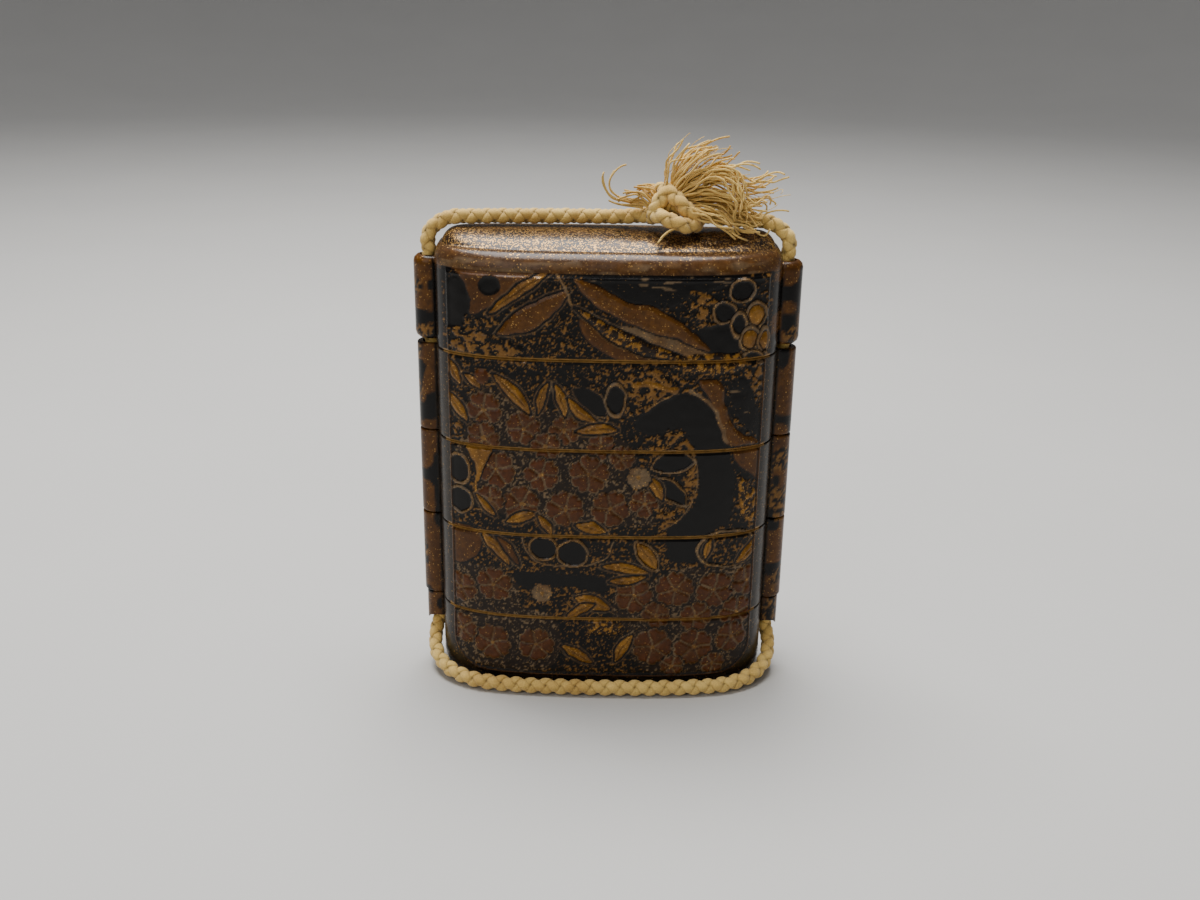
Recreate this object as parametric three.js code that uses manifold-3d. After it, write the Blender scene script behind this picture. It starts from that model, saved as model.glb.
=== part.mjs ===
// An inro: a small stacked case of lacquered wood, worn hanging from a sash. A domed lid and four
// shallow trays stand one on another, each over the thin riser of the one below. A half-round runner
// on each side carries one silk cord, which passes in front of the foot and is knotted on the lid.
// Millimetres. +Z is up, -Y is the front, and the origin is the middle of the foot.
import * as THREE from "three";
import { mergeVertices } from "three/addons/utils/BufferGeometryUtils.js";
import Module from "manifold-3d";

const wasm = await Module();
wasm.setup();

// Case
const CASE_WIDTH = 53.2; // between the runners
const CASE_DEPTH = 22;
const OVAL_POWER = 3; // the plan is a superellipse: 2 is an ellipse, and more is squarer
const OVAL_SIDES = 24;
const FOOT_TRAY_HEIGHT = 12.9;
const TRAY_HEIGHT = 14.3;
const TRAY_COUNT = 3;
const LID_SHOULDER_HEIGHT = 13; // from the lid's rim up to where its top edge starts to round
const LID_EDGE_ROUND = 2.8;
const LID_EDGE_AT_SIDES = 0.4; // how much of that rounding the lid has at its two ends
const LID_CROWN = 2.2; // how far the lid's middle stands above the rounded edge
const FOOT_EDGE_ROUND = 2.2;
const FOOT_CORNER_ROUND = 3.4; // the foot's lower corners, seen from the front

// Walls
const WALL = 1.7;
const FIT_GAP = 0.3; // between a riser and the skirt that goes over it
const RISER_WALL = 0.9;
const RISER_HEIGHT = 3.5;
const TRAY_FLOOR = 1.2;
const FOOT_FLOOR = 1.8;
const CROWN_WALL = 1.9;
const EDGE_BREAK = 0.22; // the chamfer on both sides of each seam
const SEAM_GAP = 0.06;

// Runners and cord channels
const CHANNEL_X = 27.4;
const CHANNEL_RADIUS = 1.6;
const RUNNER_RADIUS = 2.4;
const FOOT_RUNNER_RADIUS = 2.1;
const FOOT_RUNNER_START = 7.3;
const CHANNEL_MOUTH = [-0.7, FOOT_RUNNER_START - 0.2]; // the y and z where the cord bends out forwards
const MOUTH_RADIUS = 2;
const LID_RUNNER_RADIUS = 2.6;
const LID_RUNNER_LIFT = 0.5; // its lower end above the lid's rim
const LID_RUNNER_ROUND = 1.1; // its two ends
const RUNNER_SIDES = 10;

// Cord
const CORD_DIAMETER = 2.6;
const CORD_SIDES = 8;
const CORD_STEPS = 60;

// Relief on the front and back: a raised panel, and motifs raised on that
const PANEL_RISE = 0.3;
const MOTIF_RISE = 0.65;
const RELIEF_ROOT = 0.8; // how far back into the wall a raised part reaches
const PANEL_HALF_WIDTH = 24.2;
const PANEL_START = 2.4;
const PANEL_CORNER = 5.5;
const BLOSSOM_RADIUS = 3.4;
const BLOSSOM_LOBES = 5;

const HALF_WIDTH = CASE_WIDTH / 2;
const HALF_DEPTH = CASE_DEPTH / 2;
const LID_START = FOOT_TRAY_HEIGHT + TRAY_COUNT * TRAY_HEIGHT;
const LID_SHOULDER = LID_START + LID_SHOULDER_HEIGHT;
const LID_EDGE_TOP = LID_SHOULDER + LID_EDGE_ROUND;
const LID_TOP = LID_EDGE_TOP + LID_CROWN;
const INNER_INSET = WALL + FIT_GAP + RISER_WALL;
const AXIS = 100; // an inset past the middle of the oval, which means a point on its axis

const LACQUER = { color: 0x2a1a10, roughness: 0.28, metalness: 0 };
const SILK = { color: 0xd9bd74, roughness: 0.85, metalness: 0 };

const degrees = (value) => (value * Math.PI) / 180;
const vector = ([x, y, z]) => new THREE.Vector3(x, y, z);
const signedPower = (value, exponent) => Math.sign(value) * Math.abs(value) ** exponent;

// A closed mesh as a solid that can be joined and cut.
function solidOf(geometry) {
  const bare = geometry.index ? geometry.toNonIndexed() : geometry.clone();
  bare.deleteAttribute("normal");
  bare.deleteAttribute("uv");
  const merged = mergeVertices(bare, 1e-4);
  const index = merged.index.array;
  const triangles = [];
  for (let i = 0; i < index.length; i += 3) {
    const [a, b, c] = [index[i], index[i + 1], index[i + 2]];
    if (a !== b && b !== c && c !== a) triangles.push(a, b, c);
  }
  return new wasm.Manifold(
    new wasm.Mesh({
      numProp: 3,
      vertProperties: merged.attributes.position.array,
      triVerts: new Uint32Array(triangles),
    }),
  );
}

function meshOf(name, solid, finish) {
  const made = solid.getMesh();
  const places = new Float32Array(made.numVert * 3);
  for (let i = 0; i < made.numVert; i++) {
    places.set(made.vertProperties.subarray(i * made.numProp, i * made.numProp + 3), i * 3);
  }
  const geometry = new THREE.BufferGeometry();
  geometry.setAttribute("position", new THREE.BufferAttribute(places, 3));
  geometry.setIndex(new THREE.BufferAttribute(made.triVerts, 1));
  geometry.computeVertexNormals();
  const mesh = new THREE.Mesh(geometry, new THREE.MeshStandardMaterial(finish));
  mesh.name = name;
  return mesh;
}

const joined = (solids) => solids.reduce((all, one) => all.add(one));

// A solid with the case's oval plan. Each profile point is [inset, height], or [inset, height,
// inset at the sides] where the two differ.
function ovalSolid(profile) {
  const points = profile.map(([inset, z]) => new THREE.Vector2(AXIS - inset, z));
  const lathe = new THREE.LatheGeometry(points, OVAL_SIDES);
  const place = lathe.attributes.position;
  for (let i = 0; i < place.count; i++) {
    const [inset, z, sideInset = inset] = profile[i % profile.length];
    const turn = (2 * Math.PI * Math.floor(i / profile.length)) / OVAL_SIDES;
    const across = signedPower(Math.cos(turn), 2 / OVAL_POWER);
    const back = signedPower(Math.sin(turn), 2 / OVAL_POWER);
    const x = Math.max(0, HALF_WIDTH - sideInset) * across;
    const y = Math.max(0, HALF_DEPTH - inset) * back;
    place.setXYZ(i, Number(x.toFixed(5)), Number(y.toFixed(5)), z);
  }
  return solidOf(lathe);
}

function ovalBlock(inset, low, high) {
  return ovalSolid([[AXIS, low], [inset, low], [inset, high], [AXIS, high]]);
}

function uprightRod(radius, low, high, x) {
  const rod = new THREE.CylinderGeometry(radius, radius, high - low, RUNNER_SIDES);
  rod.rotateX(Math.PI / 2).translate(x, 0, (low + high) / 2);
  return solidOf(rod);
}

// Joins a runner on each side, clears the inside of the case, and cuts the two cord channels.
function withRunners(shell, runnerAt, inside) {
  const sides = [-CHANNEL_X, CHANNEL_X];
  const channels = sides.map((x) => uprightRod(CHANNEL_RADIUS, -1, LID_TOP + 1, x));
  const mouths = sides.map((x) => {
    return solidOf(new THREE.SphereGeometry(MOUTH_RADIUS, RUNNER_SIDES, 8).translate(x, ...CHANNEL_MOUTH));
  });
  return joined([shell, ...sides.map(runnerAt)]).subtract(inside).subtract(joined([...channels, ...mouths]));
}

// Motifs, drawn in the plane of the case's face with x across and y up
function outline(points, x, z, turn) {
  const [c, s] = [Math.cos(turn), Math.sin(turn)];
  return new THREE.Shape(points.map(([u, v]) => new THREE.Vector2(x + u * c - v * s, z + u * s + v * c)));
}

function blossom([x, z, size, turn]) {
  const count = BLOSSOM_LOBES * 3;
  const points = [];
  for (let i = 0; i < count; i++) {
    const angle = (2 * Math.PI * i) / count;
    const notch = i % 3 === 0 ? 0.68 : 1;
    const radius = BLOSSOM_RADIUS * size * notch;
    points.push([radius * Math.cos(angle), radius * Math.sin(angle)]);
  }
  return outline(points, x, z, degrees(turn));
}

// A pointed leaf. Its spine is bowed, so that the leaf curves.
function leaf([x, z, length, width, turn, bow]) {
  const steps = 4;
  const edge = (i, side) => {
    const swell = Math.sin((Math.PI * i) / steps);
    return [length * (i / steps - 0.5), swell * (bow + (side * width) / 2)];
  };
  const points = [];
  for (let i = 0; i < steps; i++) points.push(edge(i, -1));
  for (let i = steps; i > 0; i--) points.push(edge(i, 1));
  return outline(points, x, z, degrees(turn));
}

// A medallion or a round fruit.
function round([x, z, halfWidth, halfHeight]) {
  return new THREE.Shape().absellipse(x, z, halfWidth, halfHeight, 0, 2 * Math.PI);
}

function panel() {
  const shape = new THREE.Shape();
  const [side, low, high, round] = [PANEL_HALF_WIDTH, PANEL_START, LID_SHOULDER - 0.5, PANEL_CORNER];
  shape.absarc(side - round, low + round, round, degrees(-90), 0, false);
  shape.lineTo(side, high);
  shape.lineTo(-side, high);
  shape.absarc(round - side, low + round, round, degrees(180), degrees(270), false);
  return shape;
}

// A shape on one face, as a block from the middle of the case out past that face.
function block(shape, back) {
  const extruded = new THREE.ExtrudeGeometry(shape, {
    depth: CASE_DEPTH,
    bevelEnabled: false,
    curveSegments: 4,
  });
  extruded.rotateX(Math.PI / 2);
  if (back) extruded.rotateZ(Math.PI);
  return solidOf(extruded);
}

// The motifs as seen from outside each face: blossoms are [x, z, size, turn], leaves are
// [x, z, length, width, turn, bow], and rounds are [x, z, half width, half height].
const FRONT = {
  blossoms: [
    [-18.4, 47.6, 0.85, 12], [-12.4, 45, 0.85, 40], [-6.2, 44.8, 0.75, 10], [-16.6, 38, 0.95, 18],
    [-9.6, 37.6, 0.85, 0], [-2.4, 37.8, 0.95, 50], [-12.8, 32.6, 0.9, 60], [-6, 32, 0.9, 5], [1, 32.2, 0.95, 30],
    [5, 17.2, 0.95, 25], [11.4, 18.4, 0.95, 50], [17.8, 18, 0.95, 12], [8.2, 8.2, 1, 35], [14.8, 8, 1, 5],
    [20.8, 9.2, 0.7, 20], [-17.2, 18.4, 0.9, 50], [-17.6, 8, 0.95, 12], [-10.6, 8.2, 0.9, 30],
  ],
  leaves: [
    [-11, 62.9, 12.6, 3.4, 33, -0.4], [-12.4, 66.2, 10.4, 1.8, 36, 0.3], [5, 63.5, 22.4, 3.6, -27, 1.3],
    [4.4, 59.6, 20, 3, -25, -1.5], [-13.6, 50.2, 7.8, 2, -46, 0.4], [-3.2, 48.4, 5.6, 1.7, -38, -0.7],
    [-1.2, 44.9, 5.4, 1.6, 4, 0.3], [17.9, 47.4, 12, 3.4, -60, -0.4], [22, 38.4, 6, 2.8, -70, 0.3],
    [-16.6, 24.5, 6.6, 1.9, -50, 0.3], [7, 24.2, 5.6, 2.2, -55, 0.2], [3.8, 21.2, 7, 1.7, -10, 0.3],
    [-1.4, 15.6, 5.4, 2.4, -20, 0.3], [3.4, 7.8, 5, 1.5, 60, 0.2],
  ],
  rounds: [[9.6, 36, 4.2, 5.6], [20.2, 65.4, 1.5, 1.5], [17.2, 63.2, 1.4, 1.4], [22, 61.9, 1.3, 1.6], [19.4, 60, 1.3, 1.5]],
};
const BACK = {
  blossoms: [
    [-15, 48, 0.95, 12], [-7.6, 49.6, 0.9, 48], [-12.6, 34, 0.95, 24], [-5, 33, 0.9, 50], [13.6, 34.6, 0.95, 5],
    [8.4, 19.8, 0.95, 30], [15.6, 19, 0.9, 0], [-13, 8, 0.9, 36],
  ],
  leaves: [
    [-10, 62.8, 18, 3.6, 27, -0.5], [9, 63, 18, 3.6, -29, 0.8], [11, 48.6, 10, 3, 35, 0.4],
    [7.6, 33.4, 8, 2.4, -50, 0.3], [-4.4, 20.4, 10, 2.8, 20, 0.4], [3, 8, 9, 2.4, -15, 0.3],
  ],
  rounds: [[-17, 19.6, 1.8, 1.8]],
};

function motifBlocks(plan, back) {
  const shapes = [...plan.blossoms.map(blossom), ...plan.leaves.map(leaf), ...plan.rounds.map(round)];
  return joined(shapes.map((shape) => block(shape, back)));
}

const PANELS = block(panel(), false).add(block(panel(), true));
const MOTIFS = motifBlocks(FRONT, false).add(motifBlocks(BACK, true)).intersect(PANELS);

// The raised work between two heights.
function relief(low, high) {
  const skin = (rise, blocks) => ovalBlock(-rise, low, high).intersect(blocks);
  const raised = skin(PANEL_RISE, PANELS).add(skin(MOTIF_RISE, MOTIFS));
  return raised.subtract(ovalBlock(RELIEF_ROOT, low - 1, high + 1));
}

// The upper part of every tray: the rim, the riser, and the inside down to the floor.
function trayTop(top, floorTop) {
  return [
    [0, top - SEAM_GAP - EDGE_BREAK],
    [EDGE_BREAK, top - SEAM_GAP],
    [WALL + FIT_GAP, top - SEAM_GAP],
    [WALL + FIT_GAP, top + RISER_HEIGHT],
    [INNER_INSET, top + RISER_HEIGHT],
    [INNER_INSET, floorTop],
    [AXIS, floorTop],
  ];
}

// A middle tray: the skirt below its floor goes over the riser of the tray underneath.
function middleTray(start) {
  const top = start + TRAY_HEIGHT;
  const ledge = start + RISER_HEIGHT + FIT_GAP;
  const shell = ovalSolid([
    [AXIS, ledge],
    [WALL, ledge],
    [WALL, start],
    [EDGE_BREAK, start],
    [0, start + EDGE_BREAK],
    ...trayTop(top, ledge + TRAY_FLOOR),
  ]);
  const runnerAt = (x) => uprightRod(RUNNER_RADIUS, start + SEAM_GAP, top - 2 * SEAM_GAP, x);
  const inside = ovalBlock(WALL, start - 1, ledge).add(
    ovalBlock(INNER_INSET, ledge + TRAY_FLOOR, top + RISER_HEIGHT + 1),
  );
  return withRunners(shell, runnerAt, inside).add(relief(start + 2 * EDGE_BREAK, top - 2 * EDGE_BREAK));
}

// Points round the foot's lower edge, which is rounder at the sides than at the front.
function footEdge(turn) {
  const out = 1 - Math.sin(turn);
  const up = 1 - Math.cos(turn);
  return [FOOT_EDGE_ROUND * out, FOOT_EDGE_ROUND * up, FOOT_CORNER_ROUND * out];
}

function footTray() {
  const top = FOOT_TRAY_HEIGHT;
  const cornerInset = (z) => {
    const below = Math.max(0, FOOT_CORNER_ROUND - z);
    return FOOT_CORNER_ROUND - Math.sqrt(FOOT_CORNER_ROUND ** 2 - below ** 2);
  };
  const heights = [FOOT_EDGE_ROUND, FOOT_CORNER_ROUND];
  const lowInside = FOOT_CORNER_ROUND;
  const floorInset = INNER_INSET + cornerInset(FOOT_FLOOR);
  const lowEdge = [30, 60].map((turn) => {
    const [inset, z] = footEdge(degrees(turn));
    return [inset, z, cornerInset(z)];
  });
  const shell = ovalSolid([
    [AXIS, 0],
    [FOOT_EDGE_ROUND, 0, FOOT_CORNER_ROUND],
    ...lowEdge,
    ...heights.map((z) => [0, z, cornerInset(z)]),
    ...trayTop(top, lowInside).slice(0, -1),
    [INNER_INSET, FOOT_FLOOR, floorInset],
    [AXIS, FOOT_FLOOR],
  ]);
  const runnerAt = (x) => uprightRod(FOOT_RUNNER_RADIUS, FOOT_RUNNER_START, top - 2 * SEAM_GAP, x);
  const inside = ovalBlock(INNER_INSET, lowInside, top + RISER_HEIGHT + 1);
  return withRunners(shell, runnerAt, inside).add(relief(PANEL_START - 0.1, top - 2 * EDGE_BREAK));
}

// A runner on the lid: wider than the trays' runners, with eased ends.
function lidRunner(x) {
  const end = (z, inwards) => {
    return [[LID_RUNNER_ROUND, 0], [LID_RUNNER_ROUND * 0.3, LID_RUNNER_ROUND * 0.3], [0, LID_RUNNER_ROUND]].map(
      ([inset, rise]) => new THREE.Vector2(LID_RUNNER_RADIUS - inset, z + inwards * rise),
    );
  };
  const low = LID_START + LID_RUNNER_LIFT;
  const high = LID_SHOULDER + 0.6;
  const profile = [new THREE.Vector2(0, low), ...end(low, 1), ...end(high, -1).reverse(), new THREE.Vector2(0, high)];
  const lozenge = new THREE.LatheGeometry(profile, RUNNER_SIDES);
  return solidOf(lozenge.rotateX(Math.PI / 2).translate(x, 0, 0));
}

function lidEdge(turn) {
  const inset = LID_EDGE_ROUND * (1 - Math.cos(degrees(turn)));
  const z = LID_SHOULDER + LID_EDGE_ROUND * Math.sin(degrees(turn));
  return [inset, z, inset * LID_EDGE_AT_SIDES];
}

function lid() {
  const start = LID_START;
  const shell = ovalSolid([
    [AXIS, LID_TOP - CROWN_WALL],
    [WALL + LID_EDGE_ROUND, LID_EDGE_TOP - CROWN_WALL, WALL + LID_EDGE_ROUND * LID_EDGE_AT_SIDES],
    [WALL, LID_SHOULDER],
    [WALL, start],
    [EDGE_BREAK, start],
    [0, start + EDGE_BREAK],
    ...[0, 30, 60, 90].map(lidEdge),
    [LID_EDGE_ROUND + 3.4, LID_EDGE_TOP + LID_CROWN * 0.8, LID_EDGE_ROUND * LID_EDGE_AT_SIDES + 2],
    [AXIS, LID_TOP],
  ]);
  const inside = ovalBlock(WALL, start - 1, LID_SHOULDER);
  return withRunners(shell, lidRunner, inside).add(relief(start + 2 * EDGE_BREAK, LID_SHOULDER - 0.5));
}

// The cord's route: from the knot over the lid's left shoulder, down the left channel, in front of
// the foot, up the right channel, and back to the knot
const CORD_ROUTE = [
  [6.5, -0.6, 75.9], [2, 0.4, 75.4], [-6, 0.7, 75.3], [-14, 0.6, 75.2], [-20, 0.4, 75.1],
  [-24.8, 0.2, 74.7], [-27.4, 0, 72.5], [-CHANNEL_X, 0, 69.2], [-CHANNEL_X, 0, 66], [-CHANNEL_X, 0, 48],
  [-CHANNEL_X, 0, 30], [-CHANNEL_X, 0, 12], [-CHANNEL_X, 0, 7.8], [-28, -1.5, 4.9], [-27.5, -4.6, 3],
  [-25.2, -8, 1.9], [-21, -10.7, 1.42], [-14.6, -12.1, 1.38], [-7, -12.6, 1.36], [0, -12.7, 1.36],
  [7, -12.6, 1.36], [14.6, -12.1, 1.38], [21, -10.7, 1.42], [25.2, -8, 1.9], [27.5, -4.6, 3],
  [28, -1.5, 4.9], [CHANNEL_X, 0, 7.8], [CHANNEL_X, 0, 12], [CHANNEL_X, 0, 30], [CHANNEL_X, 0, 48],
  [CHANNEL_X, 0, 66], [CHANNEL_X, 0, 69.2], [27.4, 0, 72.5], [24.8, 0.3, 74.7], [19, 0.6, 75.2],
  [13.3, 0, 75.9],
];

function tube(points, radius, sides, steps) {
  const section = new THREE.Shape();
  for (let i = 0; i < sides; i++) {
    const angle = (2 * Math.PI * (i + 0.5)) / sides;
    const corner = [radius * Math.cos(angle), radius * Math.sin(angle)];
    if (i === 0) section.moveTo(...corner);
    else section.lineTo(...corner);
  }
  const path = new THREE.CatmullRomCurve3(points.map(vector), false, "centripetal");
  return solidOf(new THREE.ExtrudeGeometry(section, { steps, bevelEnabled: false, extrudePath: path }));
}

// A lock of frayed threads: a tapering rod bent along a curve.
function lock(points, rootRadius, tipRadius) {
  const rod = new THREE.CylinderGeometry(tipRadius, rootRadius, 1, 4, 2);
  const path = new THREE.CatmullRomCurve3(points.map(vector));
  const along = path.getPoint(1).sub(path.getPoint(0)).normalize();
  const across = new THREE.Vector3(0, 1, 0).cross(along).normalize();
  const over = along.clone().cross(across);
  const place = rod.attributes.position;
  for (let i = 0; i < place.count; i++) {
    const centre = path.getPoint(place.getY(i) + 0.5);
    centre.addScaledVector(across, place.getZ(i)).addScaledVector(over, place.getX(i));
    place.setXYZ(i, centre.x, centre.y, centre.z);
  }
  return solidOf(rod);
}

// The knot on the lid: two turns round the cord, an end tucked down in front, and two frayed ends
const KNOT = [9.9, -0.9, 76.9];
const FRAY_ROOT = [11.6, -1.4, 78.4];
const LONG_FRAY = [
  [[13, -0.5, 82.5], [13.6, 0, 86]], [[11.6, -1.5, 82.5], [10.8, -1.6, 84.8]],
  [[15, -2, 83], [17.4, -2.4, 84.6]], [[16, 0.6, 82.4], [20.4, 1.2, 83.4]],
  [[17, -1.6, 81], [23.6, -2.2, 82.4]], [[17, 0.8, 80.4], [25.6, 1.4, 80.8]],
  [[17.2, -2.6, 79.6], [24.8, -3.4, 78.6]], [[16.6, -3.6, 78.4], [22.4, -4.6, 76.4]],
  [[15.6, -4, 77.4], [19, -5, 75.6]], [[16, -0.4, 79], [23.6, -1, 78.8]],
];
const SHORT_FRAY = [[[5.6, -0.8, 78.6], [2.6, -0.8, 79]], [[5.8, 0, 79.4], [4.4, 0.2, 80]]];

function cordKnot() {
  const turns = [-1.35, 1.35].map((shift) => {
    const ring = new THREE.TorusGeometry(1.75, 1.3, 6, 10);
    ring.rotateY(degrees(90 - 12 * Math.sign(shift))).translate(KNOT[0] + shift, KNOT[1], KNOT[2]);
    return solidOf(ring);
  });
  const core = new THREE.SphereGeometry(2.3, 8, 6).translate(...KNOT);
  const tucked = tube(
    [[9.4, -1.6, 78.6], [10.4, -4.4, 77.9], [11.2, -5.9, 76], [10.4, -5.6, 74.7]],
    1.25,
    7,
    6,
  );
  const long = LONG_FRAY.map((points) => lock([FRAY_ROOT, ...points], 1.1, 0.4));
  const short = SHORT_FRAY.map((points) => lock([[8.6, -0.9, 78.2], ...points], 1, 0.35));
  return joined([solidOf(core), ...turns, tucked, ...long, ...short]);
}

const inro = new THREE.Group();
inro.add(meshOf("foot_tray", footTray(), LACQUER));
for (let i = 0; i < TRAY_COUNT; i++) {
  inro.add(meshOf(`tray_${i + 1}`, middleTray(FOOT_TRAY_HEIGHT + i * TRAY_HEIGHT), LACQUER));
}
inro.add(meshOf("lid", lid(), LACQUER));
inro.add(meshOf("cord", tube(CORD_ROUTE, CORD_DIAMETER / 2, CORD_SIDES, CORD_STEPS), SILK));
inro.add(meshOf("cord_knot", cordKnot(), SILK));

export default inro;
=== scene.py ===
"""An inro: a stacked case of worn, decorated lacquer, with its braided silk cord knotted on the lid.

The script is laid out as an add-on. Each operator makes one piece, or one group of like pieces,
round the fixed frame. Lengths here are millimetres, and meshes are turned to metres as they are
made. +Z is up and -Y is the front.
"""

import math

import bpy
import numpy as np
from mathutils import Matrix, Vector


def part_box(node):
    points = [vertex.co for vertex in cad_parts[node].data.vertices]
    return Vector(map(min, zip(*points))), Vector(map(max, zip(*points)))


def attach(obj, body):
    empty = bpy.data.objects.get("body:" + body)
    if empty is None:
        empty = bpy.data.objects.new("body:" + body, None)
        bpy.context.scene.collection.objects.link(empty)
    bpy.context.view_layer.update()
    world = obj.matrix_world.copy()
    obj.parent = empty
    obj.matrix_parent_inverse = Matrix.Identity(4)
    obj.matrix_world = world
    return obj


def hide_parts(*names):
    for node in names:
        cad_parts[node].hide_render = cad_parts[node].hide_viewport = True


bl_info = {
    "name": "Lacquered Inro",
    "version": (1, 0, 0),
    "blender": (4, 5, 0),
    "location": "3D View > Sidebar > Inro",
    "description": "Makes a stacked lacquer case with its runners, silk cord and frayed knot",
    "category": "Add Mesh",
}

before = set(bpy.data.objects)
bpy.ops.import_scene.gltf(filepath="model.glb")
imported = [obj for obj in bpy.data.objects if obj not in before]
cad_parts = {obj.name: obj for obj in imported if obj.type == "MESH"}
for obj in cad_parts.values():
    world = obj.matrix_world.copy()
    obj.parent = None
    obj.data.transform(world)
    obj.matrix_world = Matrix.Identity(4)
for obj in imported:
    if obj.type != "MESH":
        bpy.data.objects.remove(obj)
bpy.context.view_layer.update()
MM = 0.001
TRAYS = ("tray_1", "tray_2", "tray_3")


def corners(node):
    """The lowest and the highest corner of a node of the frame, in millimetres."""
    return [np.array(corner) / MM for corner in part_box(node)]


# ---------------------------------------------------------------- the case's form

OVAL_POWER = 3.0  # the plan is a superellipse: 2 is an ellipse, and more is squarer
SEAM_GAP = 0.06
EDGE_BREAK = 0.22
WALL = 1.7
FIT_GAP = 0.3
INNER_INSET = 2.9
RISER_HEIGHT = 3.5
RIM_BREAK = 0.15
RING_STEP = 0.2
TRAY_FLOOR = 1.2
FOOT_FLOOR = 1.8
FOOT_EDGE = 2.2
FOOT_CORNER = 3.4
LID_EDGE = 2.8
LID_EDGE_AT_SIDES = 0.4
LID_CROWN = 2.2
CROWN_WALL = 1.9
PANEL_RISE = 0.3
MOTIF_RISE = 0.65
PANEL_HALF_WIDTH = 24.2
PANEL_START = 2.4
PANEL_CORNER = 5.5
RUNNER_RADIUS = 2.4
RUNNER_INSIDE = 25.2  # how near the middle of the case a runner's solid reaches
FOOT_RUNNER_RADIUS = 2.1
FOOT_RUNNER_START = 7.3
LID_RUNNER_RADIUS = 2.6
LID_RUNNER_LIFT = 0.5
LID_RUNNER_ROUND = 1.1
CHANNEL_RADIUS = 1.6
MOUTH_RADIUS = 2.0

HALF_DEPTH = corners("tray_2")[1][1] - MOTIF_RISE
CHANNEL_X = corners("tray_2")[1][0] - RUNNER_RADIUS
HALF_WIDTH = CHANNEL_X - 0.8
SEAMS = [corners(node)[0][2] for node in (*TRAYS, "lid")]
LID_START = SEAMS[3]
LID_TOP = corners("lid")[1][2]
LID_EDGE_TOP = LID_TOP - LID_CROWN
LID_SHOULDER = LID_EDGE_TOP - LID_EDGE
PANEL_END = LID_SHOULDER - 0.5

# ---------------------------------------------------------------- the stage's form

CAMERA_HEIGHT = 34.8
CAMERA_DISTANCE = 211
CAMERA_SHIFT_RIGHT = -0.8
CAMERA_SHIFT_UP = 2.7
FLOOR_RADIUS = 900
FLOOR_BEND = 600
FLOOR_TOP = 900
FLOOR_COLUMNS = 90

# ---------------------------------------------------------------- the cord's form

# From the knot over the lid's left shoulder, down the left channel, in front of the foot, up the
# right channel, and back to the knot
CORD_ROUTE = [
    (6.5, -0.6, 75.9), (2, 0.4, 75.4), (-6, 0.7, 75.3), (-14, 0.6, 75.2), (-20, 0.4, 75.1),
    (-24.8, 0.2, 74.7), (-27.4, 0, 72.5), (-27.4, 0, 69.2), (-27.4, 0, 66), (-27.4, 0, 48),
    (-27.4, 0, 30), (-27.4, 0, 12), (-27.4, 0, 7.8), (-28, -1.5, 4.9), (-27.5, -4.6, 3),
    (-25.2, -8, 1.9), (-21, -10.7, 1.42), (-14.6, -12.1, 1.38), (-7, -12.6, 1.36), (0, -12.7, 1.36),
    (7, -12.6, 1.36), (14.6, -12.1, 1.38), (21, -10.7, 1.42), (25.2, -8, 1.9), (27.5, -4.6, 3),
    (28, -1.5, 4.9), (27.4, 0, 7.8), (27.4, 0, 12), (27.4, 0, 30), (27.4, 0, 48),
    (27.4, 0, 66), (27.4, 0, 69.2), (27.4, 0, 72.5), (24.8, 0.3, 74.7), (19, 0.6, 75.2),
    (13.3, 0, 75.9),
]

# The wraps of the knot, each one a length of the same braid
KNOT_WRAPS = [
    [(7.2, 1.4, 76.8), (7.3, 0.6, 78.8), (8.2, -1.2, 79.8), (9.7, -2.9, 79), (11.2, -4, 77.6),
     (12.5, -3.9, 76.4), (13, -2.2, 75.6)],
    [(6.4, -1.6, 75.8), (7.3, -3.7, 76.3), (9, -5.2, 75.9), (10.9, -5.5, 75.3), (12.4, -4.6, 75.1),
     (13.2, -2.6, 75.2), (13.4, -0.4, 75.7)],
    [(6.9, -1, 75.6), (7, -2.6, 77.3), (8.2, -2.2, 79.2), (9.6, -0.4, 79.6), (10.4, 1, 78.2),
     (10, 1.2, 76)],
    [(8.6, -1.2, 76.6), (9.8, -2, 77.4), (11, -1.6, 77.2), (12, -0.6, 76.4)],
]

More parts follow.
